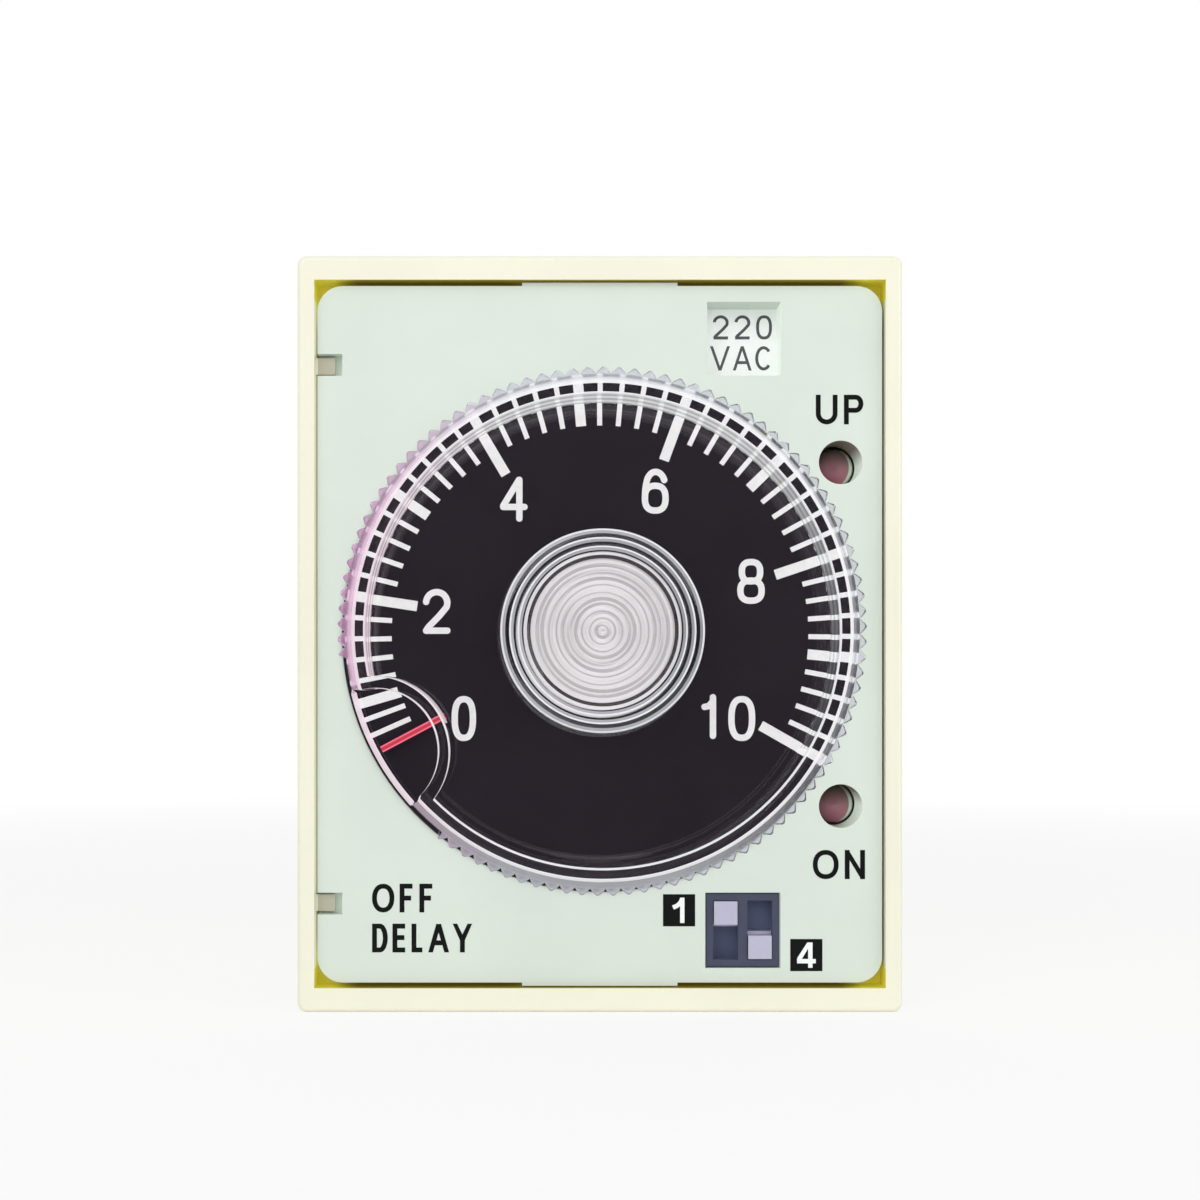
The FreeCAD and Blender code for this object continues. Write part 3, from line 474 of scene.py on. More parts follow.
# Depths past the switch's face between which its wells pale: painted light against the shade down in them
WELL_START, WELL_END = 0.1 * MM, 0.5 * MM

# Lamp hole: reach round the lamp, depth of its edge, and height at which the painted shade on its wall is
# darkest
HOLE_REACH, HOLE_EDGE, HOLE_TOP = 1.6 * MM, 0.05 * MM, 1.0 * MM

# Lamp: heights from its middle between which painted shade darkens it, and a circle, moved left, past which
# painted light pales it
LAMP_SHADE_START, LAMP_SHADE_END = -0.6 * MM, 1.2 * MM
FLANK_SHIFT, FLANK_START, FLANK_END = 0.5 * MM, 1.45 * MM, 1.55 * MM

# Knob: places along X where its pink painted reflection is full and where it ends, and pitch of its wall's
# turned rings
PINK_REFLECTION_FULL, PINK_REFLECTION_END = -16.5 * MM, -6 * MM
WALL_PITCH = 1.75 * MM


def mould_skin(tree, shader, coords, tones, patches, rough):
    """Skin of a moulding: its tones, gloss that wanders with the patches, and a fine grain."""
    fill(tree, shader, {"Base Color": tones, "Roughness": span(tree, patches, rough - 0.05, rough + 0.05)})
    raise_surface(tree, shader, noise(tree, coords, GRAIN), GRAIN_DEPTH)


def moulded(name, tone, rough=0.42, patch=5.0, share=0.95, shine=0.5):
    """Moulded plastic: two close tones in soft patches, a fine grain, and gloss that wanders."""
    material, tree, shader, coords = new_finish(name)
    patches = patchwork(tree, coords, patch)
    mould_skin(tree, shader, coords, worn(tree, patches, tone, share), patches, rough)
    fill(tree, shader, {"Specular IOR Level": shine})
    return material


def place_on_panel(tree, coords):
    """A place's depth, and the squares of its shares of the panel's half width and half height."""
    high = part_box("front_panel")[1]
    spot = split(tree, coords)
    shares = (reckon(tree, "MULTIPLY", spot[axis], 1 / half) for axis, half in (("X", high.x), ("Z", high.z)))
    return spot["Y"], *(reckon(tree, "POWER", share, 2.0) for share in shares)


def over_the_panel(tree, coords):
    """1 for places of the case within the panel's outline and near its face: the latch nibs, which take
    painted shade.
    """
    depth, across, up = place_on_panel(tree, coords)
    limits = ((across, NIB_ASIDE), (up, NIB_UP), (depth, PANEL_FACE + NIB_DEPTH))
    return reckon(tree, "MULTIPLY", *(reckon(tree, "LESS_THAN", place, limit) for place, limit in limits))


def round_the_panel(tree, coords):
    """1 for places in the seat round the panel, which take painted light and shade: inside the bezel's
    opening and past the panel's edge.

    Above and below the panel it starts at the bezel's front, and beside it only deep in the seat.
    """
    depth, across, up = place_on_panel(tree, coords)
    edges = ((across, SEAT_ASIDE, PANEL_FACE + SEAT_ASIDE_START), (up, SEAT_UP, BEZEL_FACE + SEAT_UP_START))
    sides = []
    for place, limit, start in edges:
        past, deep = (reckon(tree, "GREATER_THAN", *test) for test in ((place, limit), (depth, start)))
        sides.append(reckon(tree, "MULTIPLY", past, deep))
    opening = reckon(tree, "LESS_THAN", reckon(tree, "MAXIMUM", across, up), SEAT_OPENING)
    before = reckon(tree, "LESS_THAN", depth, PANEL_FACE + SEAT_DEPTH)
    return reckon(tree, "MULTIPLY", reckon(tree, "MAXIMUM", *sides), opening, before)


def cream_case(name, tone, seat, gap, nib):
    """Cream moulding, with painted light and shade round the panel: a yellow seat that shines a little by
    itself at its corners, painted-shade brown away from them, and nibs painted darker as shade.
    """
    material, tree, shader, coords = new_finish(name)
    patches = patchwork(tree, coords, 9)
    _, across, up = place_on_panel(tree, coords)
    corner = climb(tree, reckon(tree, "MULTIPLY", across, up), *SEAT_CORNER)
    # Painted shade and light in the seat: brown along the gap, passing to yellow at the corners for warm
    # light bounced inside the cream plastic
    painted_seat_light = blend(tree, corner, gap, worn(tree, patches, seat, 0.85))
    seated = round_the_panel(tree, coords)
    plain = blend(tree, seated, worn(tree, patches, tone, 0.975), painted_seat_light)
    # The nibs take a darker beige: painted shade in their recess
    mould_skin(tree, shader, coords, blend(tree, over_the_panel(tree, coords), plain, nib), patches, 0.45)
    # The seat shines faintly by itself: painted light
    fill(tree, shader, {"Emission Color": painted_seat_light, "Emission Strength": reckon(tree, "MULTIPLY", seated, 0.08)})
    return material


def switch_plastic(name, tone, well):
    """Switch moulding: soft patches and a fine grain, and a paler tone down in its wells, painted light
    against their shade.
    """
    material, tree, shader, coords = new_finish(name)
    patches = patchwork(tree, coords, 1.5)
    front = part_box("range_switch_body")[0].y
    # Paler down in the wells: painted light
    down = climb(tree, split(tree, coords)["Y"], front + WELL_START, front + WELL_END)
    outer, inner = (worn(tree, patches, each, 0.95) for each in (tone, well))
    mould_skin(tree, shader, coords, blend(tree, down, outer, inner), patches, 0.55)
    fill(tree, shader, {"Specular IOR Level": 0.2})
    return material


def in_lamp_holes(tree, coords):
    """How far a place lies up the wall of a lamp's hole, for its painted shade: 0 at the lamp's middle, 1 at
    the top.
    """
    walls = []
    for lamp in ("led_up", "led_on"):
        centre = middle_of(lamp)
        middle = (centre.x, PANEL_FACE, centre.z)
        spot = split(tree, add(tree, "VectorMath", {0: coords, 1: middle}, operation="SUBTRACT")["Vector"])
        across, up = (reckon(tree, "POWER", spot[axis], 2.0) for axis in "XZ")
        near = reckon(tree, "LESS_THAN", reckon(tree, "ADD", across, up), HOLE_REACH ** 2)
        inside = reckon(tree, "GREATER_THAN", spot["Y"], HOLE_EDGE)
        walls.append(reckon(tree, "MULTIPLY", near, inside, climb(tree, spot["Z"], 0.0, HOLE_TOP)))
    return reckon(tree, "MAXIMUM", *walls)


def light_left_walls(tree, shader, tones, share):
    """Painted light: faces shine by this share as far as they face left, standing in for light inside pale
    plastic that brightens a wall.
    """
    normal = add(tree, "NewGeometry", {})["Normal"]
    left = climb(tree, split(tree, normal)["X"], 0.0, -1.0, 0.0, share)
    fill(tree, shader, {"Emission Color": tones, "Emission Strength": left})


def panel_plastic(name, tone, top_shade):
    """Mint moulding with a fine grain, painted shade at the top of the lamp holes, and painted light on walls
    that face left.
    """
    material, tree, shader, coords = new_finish(name)
    patches = patchwork(tree, coords, 7)
    # Painted shade darkens the upper wall of each lamp hole
    tones = blend(tree, in_lamp_holes(tree, coords), worn(tree, patches, tone, 0.97), top_shade)
    mould_skin(tree, shader, coords, tones, patches, 0.5)
    # Painted light on walls that face left
    light_left_walls(tree, shader, tones, 0.4)
    return material


def pointer_ink(name, tone, edge, turn, width):
    """Ink of a line at this angle about the dial axis, with a brighter tone at both of its edges."""
    material, tree, shader, coords = new_finish(name)
    across = along(tree, coords, (-2 * math.sin(turn) / width, 0, 2 * math.cos(turn) / width))
    fill(tree, shader, {
        "Base Color": ramp(tree, reckon(tree, "MULTIPLY", across, across), (0.1, tone), (0.45, edge)),
        "Roughness": span(tree, noise(tree, coords, INK_GRAIN), 0.45, 0.6),
    })
    return material


def inked(name, tone, shine=0.5, painted_glow=0.0):
    """Screen print: an even ink with a faint grain in tone and gloss, and a share that shines by itself as
    painted light.
    """
    material, tree, shader, coords = new_finish(name)
    grains = noise(tree, coords, INK_GRAIN)
    tones = worn(tree, grains, tone, 0.93, *NOISE_SPAN)
    fill(tree, shader, {
        "Base Color": tones,
        "Emission Color": tones,
        "Emission Strength": painted_glow,
        "Roughness": span(tree, grains, 0.45, 0.6),
        "Specular IOR Level": shine,
    })
    return material


def let_lamps_through(tree, shader, share):
    """Rays on their way to a lamp pass straight through, dimmed to this share."""
    open_way = add(tree, "BsdfTransparent", {"Color": (share, share, share, 1)})["BSDF"]
    to_lamp = add(tree, "LightPath", {})["Is Shadow Ray"]
    mix_surface(tree, to_lamp, shader.outputs["BSDF"], open_way)


def clear_moulding(name, tone, bend=ACRYLIC):
    """Clear acrylic: light passes through, faintly tinted in broad drifts."""
    material, tree, shader, coords = new_finish(name)
    drifts = noise(tree, coords, 14 * MM)
    fill(tree, shader, {
        "Base Color": worn(tree, drifts, tone, 0.97, *NOISE_SPAN),
        "Roughness": span(tree, drifts, 0.01, 0.03),
        "Transmission Weight": 1.0,
        "IOR": bend,
    })
    let_lamps_through(tree, shader, 0.98)
    return material


def hazy_moulding(name, tone, pink_reflection, clarity, rough, bend=ACRYLIC, painted_glow=0.0, thins=(5, 3, 12), rings=0.0):
    """Hazy acrylic: part of the light passes, the rest scatters, and the tint drifts to a pink painted
    reflection on the left.

    The share that shines by itself is painted light, standing for light that is led along inside the plastic
    and comes out at a wall. The first clarity passes into the second, and the painted light dies away, in a
    direction in degrees and between two distances in millimetres. Turned rings darken it by their share.
    """
    material, tree, shader, coords = new_finish(name)
    drift = climb(tree, split(tree, coords)["X"], PINK_REFLECTION_FULL, PINK_REFLECTION_END)
    tones = ramp(tree, drift, (0.0, pink_reflection), (1.0, tone))
    if rings:
        turned = wave(tree, coords, WALL_PITCH, 0.5, bands_direction="Y")
        tones = blend(tree, reckon(tree, "MULTIPLY", turned, rings), tones, shade(tone, 0.2))
    fill(tree, shader, {
        "Base Color": tones,
        "Emission Color": tones,
        "Roughness": span(tree, noise(tree, coords, 0.5 * MM), rough, rough + 0.1),
        "IOR": bend,
    })
    turn, near, far = math.radians(thins[0]), thins[1] * MM, thins[2] * MM
    reach = along(tree, coords, (math.cos(turn), 0, math.sin(turn)))
    for label, start, end in (("Transmission Weight", *clarity), ("Emission Strength", painted_glow, 0.1 * painted_glow)):
        even = start == end
        fill(tree, shader, {label: start if even else climb(tree, reach, near, far, start, end)})
    let_lamps_through(tree, shader, 0.9)
    return material


def spun(name, tone, pitch=0.42):
    """Turned face: fine rings about the dial axis in tone, gloss and relief, and painted reflection that
    darkens it to the left and right.
    """
    material, tree, shader, coords = new_finish(name)
    turns = wave(tree, coords, pitch * MM, 0.3, wave_type="RINGS", rings_direction="Y")
    place = split(tree, coords)
    across, up = (reckon(tree, "POWER", place[axis], 2.0) for axis in "XZ")
    # Painted reflection: darker where the face lies to the left and right of the axis
    painted_side_light = reckon(tree, "DIVIDE", across, reckon(tree, "ADD", across, up))
    painted_side_shade = reckon(tree, "MULTIPLY", painted_side_light, 0.35)
    fill(tree, shader, {
        "Base Color": blend(tree, painted_side_shade, worn(tree, turns, tone, 0.6, 0.1, 0.5), shade(tone, 0.65)),
        "Roughness": span(tree, turns, 0.3, 0.45),
        "Metallic": 0.2,
    })
    raise_surface(tree, shader, turns, 0.02 * MM)
    return material


def plated(name, tone, rough=0.25):
    """Plated metal with faint stains."""
    material, tree, shader, coords = new_finish(name)
    stains = patchwork(tree, coords, 2.5)
    fill(tree, shader, {
        "Base Color": worn(tree, stains, tone, 0.85, *NOISE_SPAN),
        "Roughness": span(tree, stains, rough - 0.07, rough + 0.07),
        "Metallic": 1.0,
    })
    return material


def lamp_lens(name, tone, top_shade, pale, middle):
    """Unlit coloured lamp under a glossy skin, with painted shade that darkens it to its top and painted
    light that pales its right flank.
    """
    material, tree, shader, coords = new_finish(name)
    rise = climb(tree, split(tree, coords)["Z"], middle.z + LAMP_SHADE_START, middle.z + LAMP_SHADE_END)
    inputs = {0: coords, 1: (1, 0, 1), 2: (FLANK_SHIFT - middle.x, 0, -middle.z)}
    offset = add(tree, "VectorMath", inputs, operation="MULTIPLY_ADD")["Vector"]
    # Painted light on the lamp's right flank
    painted_side_light = climb(tree, distance(tree, offset), FLANK_START, FLANK_END)
    fill(tree, shader, {
        "Base Color": blend(tree, painted_side_light, ramp(tree, rise, (0.0, tone), (1.0, top_shade)), pale),
        "Roughness": span(tree, noise(tree, coords, 1.2 * MM), 0.12, 0.22),
        "Coat Weight": 0.6,
    })
    return material


# Mesh building

# Angle from which an edge is shaded sharp
SHARP = math.radians(32)

# Most of a side that a rounding takes, how far off its guard points lie, and the steps from which it has them
SIDE_SHARE, GUARD, GUARDED_STEPS = 0.4, 1.2, 4

# Rise of each further stroke of a letter, as a share of the print's height
LAYER_RISE = 0.25

# Stations of a half-round end
END_TURNS = np.radians([20, 40, 60, 84])


def put_object(name, data):
    """An object at the origin with this data."""
    thing = bpy.data.objects.new(name, data)
    bpy.context.collection.objects.link(thing)
    return thing


def put_mesh(name, points, faces, finishes, finish_of=None):
    """An object at the origin made from points and faces, turned so that its faces point outwards.

    With several finishes, finish_of holds each face's number in them.
    """
    corners = np.array([face[:3] for face in faces])
    a, b, c = (points[corners[:, i]] for i in range(3))
    inside_out = np.einsum("ij,ij->i", a - points.mean(0), np.cross(b - a, c - a)).sum() < 0
    mesh = bpy.data.meshes.new(name)
    mesh.from_pydata(points.tolist(), [], [face[::-1] for face in faces] if inside_out else faces)
    for finish in finishes:
        mesh.materials.append(finish)
    if finish_of is not None:
        mesh.polygons.foreach_set("material_index", np.asarray(finish_of, dtype=np.int32))
    mesh.shade_smooth()
    mesh.set_sharp_from_angle(angle=SHARP)
    return put_object(name, mesh)


def wrap(index):
    """Faces between the rows of a grid of points whose rows are closed rings."""
    beside = np.roll(index, -1, axis=1)
    return np.stack([index[:-1], beside[:-1], beside[1:], index[1:]], axis=-1).reshape(-1, 4)


def round_corners(radii, heights, reaches, steps):
    """Rounds a section's corners in every column at once.

    Rows are corners and columns are angles. Each inner corner gives way to points on the quadratic curve
    that leaves the side before it and joins the side after it, at most its reach from the corner. Where a
    corner has more than three points, one more on each side keeps the shading of a flat side flat.
    """
    path = np.stack([radii, heights])
    rows = [path[:, :1]]
    for i in range(1, path.shape[1] - 1):
        corner = path[:, i]
        sides = [other - corner for other in (path[:, i - 1], path[:, i + 1])]
        shares = [np.minimum(reaches[i] / np.maximum(np.hypot(*side), HAIR), SIDE_SHARE) for side in sides]
        start, end = ((corner + side * share)[:, None, :] for side, share in zip(sides, shares))
        before, after = ((corner + GUARD * side * share)[:, None, :] for side, share in zip(sides, shares))
        t = np.linspace(0, 1, steps[i])[None, :, None]
        curve = (1 - t) ** 2 * start + 2 * t * (1 - t) * corner[:, None, :] + t ** 2 * end
        rows += [before, curve, after] if steps[i] >= GUARDED_STEPS else [curve]
    rows.append(path[:, -1:])
    return np.concatenate(rows, axis=1)


def carry_round(name, radii, heights, angles, finishes, finish_of):
    """A closed section carried once round the dial axis.

    The point at row i and column j lies at radius r(i, j), height h(i, j) and angle a(j), so that
    x = r cos a, z = r sin a and y = panel face - h. The first and last rows are single points on the axis.
    finish_of holds the finish of the faces from each row but the last to the next one, column by column.
    """
    grid = np.stack([radii * np.cos(angles), PANEL_FACE - heights, radii * np.sin(angles)], axis=-1)
    rows, columns = radii.shape
    points = np.concatenate([grid[1:-1].reshape(-1, 3), [grid[0, 0]], [grid[-1, 0]]])
    index = np.arange((rows - 2) * columns).reshape(rows - 2, columns)
    first, last = index[0], index[-1]
    start, end = (np.full(columns, len(points) - back) for back in (2, 1))
    cap = np.stack([start, np.roll(first, -1), first], axis=-1)
    base = np.stack([end, last, np.roll(last, -1)], axis=-1)
    faces = wrap(index).tolist() + cap.tolist() + base.tolist()
    finish_of = np.concatenate([finish_of[1:-1], finish_of[:1], finish_of[-1:]]).ravel()
    return put_mesh(name, points, faces, finishes, finish_of)


def raised_bars(name, centres, turns, sizes, face, proud, material):
    """Flat bars of print on a plane.

    A bar's corner is its centre plus half its length along its direction and half its width across it, on
    the face and at the print's height. All arrays have a row for each bar.
    """
    along_bar = np.stack([np.cos(turns), np.sin(turns)], axis=-1) * sizes[:, :1] / 2
    across = np.stack([-np.sin(turns), np.cos(turns)], axis=-1) * sizes[:, 1:] / 2
    signs = ((1, 1), (-1, 1), (-1, -1), (1, -1))
    ring = np.stack([centres + a * along_bar + b * across for a, b in signs], axis=1)
    flat = np.repeat(ring[:, None], 2, axis=1)
    depth = np.broadcast_to(np.array([face, face - proud])[None, :, None], flat.shape[:3])
    points = np.stack([flat[..., 0], depth, flat[..., 1]], axis=-1).reshape(-1, 3)
    pattern = np.array([(0, 1, 2, 3), (7, 6, 5, 4), (0, 4, 5, 1), (1, 5, 6, 2), (2, 6, 7, 3), (3, 7, 4, 0)])
    faces = (8 * np.arange(len(centres))[:, None, None] + pattern).reshape(-1, 4)
    return put_mesh(name, points, faces.tolist(), [material])


def stroke_edges(path, width):
    """Both edges of a stroke: each point moves along the mitre of its two sides' normals by half the width.

    The mitre is the sum of the two normals over one plus their dot product. A path whose ends meet is a
    loop. The width is one for the whole stroke or one for each point.
    """
    looped = np.allclose(path[0], path[-1])
    side = np.diff(path, axis=0)
    side /= np.hypot(*side.T)[:, None]
    before = np.concatenate([side[-1:] if looped else side[:1], side])
    after = np.concatenate([side, side[:1] if looped else side[-1:]])
    bend = before + after
    mitre = np.stack([-bend[:, 1], bend[:, 0]], axis=-1) / (1 + (before * after).sum(1))[:, None]
    half = np.broadcast_to(width, len(path))[:, None] / 2
    return path + mitre * half, path - mitre * half


def round_ends(path, width):
    """An open stroke with half-round ends, and its width at each point.

    Past each end it goes on along its last side by r sin t, where its width is 2 r cos t.
    """
    reach, narrow = width / 2 * np.sin(END_TURNS)[:, None], width * np.cos(END_TURNS)
    start, end = (side / np.hypot(*side) for side in (path[0] - path[1], path[-1] - path[-2]))
    longer = np.concatenate([(path[0] + reach * start)[::-1], path, path[-1] + reach * end])
    return longer, np.concatenate([narrow[::-1], np.full(len(path), width), narrow])


def lettering(name, rows, face, proud, weight, material, letters=STROKES, rounded=False):
    """Lettering on a plane: a flat bar carried along every stroke of every letter.

    A letter's square is stretched to its share of the row's box less half a stroke all round, and what
    passes the box's top or bottom is pressed flat on it. Each station has four points: both edges, on the
    face and proud. Strokes that cross stand proud by further steps, so that no two faces share a plane.
    """
    points, faces, made = [], [], 0
    inset = weight / MM
    for text, left, bottom, width, height in rows:
        shares = np.array([LETTER_WIDTHS.get(letter, USUAL_WIDTH) for letter in text])
        scale = width / (shares.sum() + LETTER_GAP * (len(text) - 1))
        starts = left + scale * (np.cumsum(shares) - shares + LETTER_GAP * np.arange(len(text)))
        for letter, start, share in zip(text, starts, shares):
            low = np.array([start + inset / 2, bottom + inset / 2])
            size = np.array([scale * share - inset, height - inset])
            for layer, stroke in enumerate(letters[letter]):
                path, wide = low + size * stroke, inset
                if rounded and not np.allclose(path[0], path[-1]):
                    path, wide = round_ends(low + size * np.clip(stroke, 0, 1), inset)
                edges = np.stack(stroke_edges(path, wide), axis=1)
                edges[..., 1] = np.clip(edges[..., 1], bottom, bottom + height)
                ring = np.concatenate([edges, edges[:, ::-1]], axis=1) * MM
                rise = proud * (1 + LAYER_RISE * layer)
                depth = np.broadcast_to(face - rise * np.array([1, 1, 0, 0]), ring.shape[:2])
                points.append(np.stack([ring[..., 0], depth, ring[..., 1]], axis=-1).reshape(-1, 3))
                index = made + np.arange(4 * len(path)).reshape(-1, 4)
                faces += wrap(index).tolist() + [index[0, ::-1].tolist(), index[-1].tolist()]
                made += 4 * len(path)
    return put_mesh(name, np.concatenate(points), faces, [material])


# Clear knob

# Columns of a tooth as shares of the pitch, and the least angle between two columns
TOOTH_PLACES = np.array([-0.5, -0.4, -0.12, 0.0, 0.12, 0.4])
LEAST_TURN = math.radians(0.02)

# Points along the smooth sector and along each arc of the window
SECTOR_POINTS, ARC_POINTS = 60, 49

# Rounding of the turned rings as a share of their pitch, and how far up the outer wall its extra row lies
RING_ROUNDING, WALL_ROW = 0.12, 0.4

# Half pitches from the nearest notch past which the smooth sector lies
PAST_TEETH = 1.001

# Sine of the angle below which the dish's wall is seen clear
CLEAR_BELOW = -0.5


def knob_notches(knob):
    """Angles of the knurl's notches from the pointer."""
    return knob.first_notch + knob.pitch * np.arange(knob.notches)


def knob_angles(knob):
    """Column angles from the pointer: the teeth's, and in the smooth sector even steps and window arcs."""
    notch = knob_notches(knob)
    toothed = (notch[:, None] + knob.pitch * TOOTH_PLACES).ravel()
    ends = notch[-1] + knob.pitch / 2 - math.tau, knob.first_notch - knob.pitch / 2
    sector = np.linspace(*ends, SECTOR_POINTS)[:-1]
    around = np.linspace(0.5 * math.pi, 1.5 * math.pi, ARC_POINTS)
    arcs = []
    for radius in (knob.window_outer, knob.window_inner):
        across, along_pointer = radius * np.sin(around), knob.window_reach + radius * np.cos(around)
        arcs.append(np.arctan2(across, along_pointer))
    turns = np.sort(np.concatenate([toothed, sector, *arcs]))
    return turns[np.concatenate([[True], np.diff(turns) > LEAST_TURN])]


def knurl(knob, turns):
    """Outer radius at the upper edge and at the foot.

    It rises by a quarter of a sine from the root at the nearest notch to the tip, half a pitch away.
    Further off lies the smooth sector, which widens from its own radius to the tip's.
    """
    notch = knob_notches(knob)
    apart = np.abs((turns[None, :] - notch[:, None] + math.pi) % math.tau - math.pi).min(0) / (knob.pitch / 2)
    teeth = knob.root + (knob.tip - knob.root) * np.sin(0.5 * math.pi * np.minimum(apart, 1))
    return np.where(apart > PAST_TEETH, knob.smooth, teeth), teeth


def ring_edge(knob, turns, ring, radius):
    """Ledge edge that keeps to a ring and detours round the window.

    Inside the window's circle of this radius, centred at the reach, the edge follows the near side of the
    circle: r = c cos a - sqrt(R^2 - c^2 sin^2 a). Elsewhere it is the ring.
    """
    reach = knob.window_reach
    within = radius ** 2 - (reach * np.sin(turns)) ** 2
    near = reach * np.cos(turns) - np.sqrt(np.maximum(within, 0))
    return np.where((within > 0) & (np.cos(turns) > 0), np.minimum(ring, near), ring)


def build_knob(knob, finishes):
    """Clear knob: the section from the hub's centre over dish, ledge and edge to the underside and the bore.

    Each corner has its radius and height, the reach and steps of its rounding, and two finishes: its own
    and that of the side after it.
    """
    clear, painted_highlight, hazy, toothed, pale, thin = range(len(finishes))
    turns = knob_angles(knob)
    one = np.ones_like(turns)
    crown, foot = knurl(knob, turns)
    outer = ring_edge(knob, turns, knob.ledge_outer, knob.window_inner)
    inner = ring_edge(knob, turns, knob.ledge_inner, knob.window_outer)
    in_window = outer < knob.ledge_outer - HAIR
    valley = (knob.hub_top - knob.groove_depth) * one
    fine, soft = RING_ROUNDING * knob.groove, knob.rounding
    section = [(0 * one, knob.hub_top * one, 0.0, 1, clear, clear)]
    for i in range(knob.grooves):
        # Crests of the outer rings take painted highlights
        crest, flank = (painted_highlight, hazy) if (i + 1) * knob.groove > knob.bore else (clear, clear)
        section.append(((i + 0.5) * knob.groove * one, valley, fine, 2, clear, flank))
        section.append(((i + 1) * knob.groove * one, knob.hub_top * one, fine, 3, crest, clear))
    last = knob.grooves * knob.groove
    sloped = np.where(in_window, clear, hazy)
    ring = np.where(in_window, outer, knob.root - knob.land)
    rim = np.where(in_window, foot, crown)
    side = np.where(crown < knob.root - HAIR, thin, toothed)
    below = np.sin(turns + knob.pointer) < CLEAR_BELOW
    dish, wall = (np.where(below, thin, finish) for finish in (clear, pale))
    drop = np.where(in_window, knob.floor, knob.shoulder)
    wall_radius = (1 - WALL_ROW) * foot + WALL_ROW * rim
    wall_height = (1 - WALL_ROW) * knob.underside + WALL_ROW * drop
    # Hub edge, ledge edges and window lip take painted highlights
    section += [
        (0.5 * (last + knob.hub) * one, valley + 0.5 * knob.groove_depth, 0.0, 1, hazy, hazy),
        (knob.hub * one, valley, soft, 4, painted_highlight, clear),
        (knob.hub_root * one, knob.floor * one, soft, 4, clear, clear),
        (inner - knob.ledge_inner + knob.dish, knob.floor * one, soft, 4, dish, wall),
        (inner, knob.ledge * one, soft, 5, painted_highlight, clear),
        (outer, knob.ledge * one, soft, 5, painted_highlight, sloped),
        (ring, drop, 0.5 * soft, 4, sloped, side),
        (rim, drop, np.where(in_window, knob.lip, soft), 5, np.where(in_window, painted_highlight, hazy), side),
        (wall_radius, wall_height, 0.0, 1, thin, thin),
        (foot, (knob.underside + knob.foot) * one, 0.5 * soft, 3, thin, thin),
        (foot - knob.foot, knob.underside * one, 0.5 * soft, 4, thin, clear),
        (knob.bore * one, knob.underside * one, 0.3 * soft, 4, clear, clear),
        (knob.bore * one, knob.bore_top * one, 0.3 * soft, 4, clear, clear),
        (0 * one, knob.bore_top * one, 0.0, 1, clear, clear),
    ]
    radii, heights, reaches, steps, own, beyond = zip(*section)
    finish_of, before = [], clear
    for points, mine, after in zip(steps, own, beyond):
        guarded = points >= GUARDED_STEPS
        finish_of += [before] * guarded + [mine] * (points - 1) + [after] * (1 + guarded)
        before = after
    finish_of = np.array([np.broadcast_to(row, turns.shape) for row in finish_of[:-1]])
    radii, heights = round_corners(np.array(radii), np.array(heights), reaches, steps)
    return carry_round("clear_knob", radii, heights, turns + knob.pointer, finishes, finish_of)


# Scale

def tick_values(sizes):
    """Scale values that have a tick: the whole numbers and the divisions between them."""
    first = np.arange(sizes.first_divisions) / sizes.first_divisions
    last = len(MAJOR_ANGLES) - 1
    return np.concatenate([first, np.linspace(1, last, (last - 1) * sizes.divisions + 1)])


def build_ticks(sizes, material):
    """Ticks: bars along the radius, long at even numbers, bold at whole ones past 0.

    The angles between whole numbers are even shares of the angle from one to the next.
    """
    values = tick_values(sizes)
    turns = np.radians(np.interp(values, np.arange(len(MAJOR_ANGLES)), MAJOR_ANGLES))
    whole, even = (np.isclose(values / step, np.round(values / step)) for step in (1, 2))
    inner = np.where(even, sizes.tick_even, sizes.tick_inner)
    outer = np.where(values > 0, sizes.tick_outer, sizes.tick_first)
    middle = (inner + outer) / 2
    centres = np.stack([middle * np.cos(turns), middle * np.sin(turns)], axis=-1)
    bold = whole & (values > 0)
    bars = np.stack([outer - inner, np.where(bold, sizes.tick_bold, sizes.tick_fine)], axis=-1)
    return raised_bars("scale_ticks", centres, turns, bars, SCALE_FACE, sizes.proud, material)


# Solids of the frame

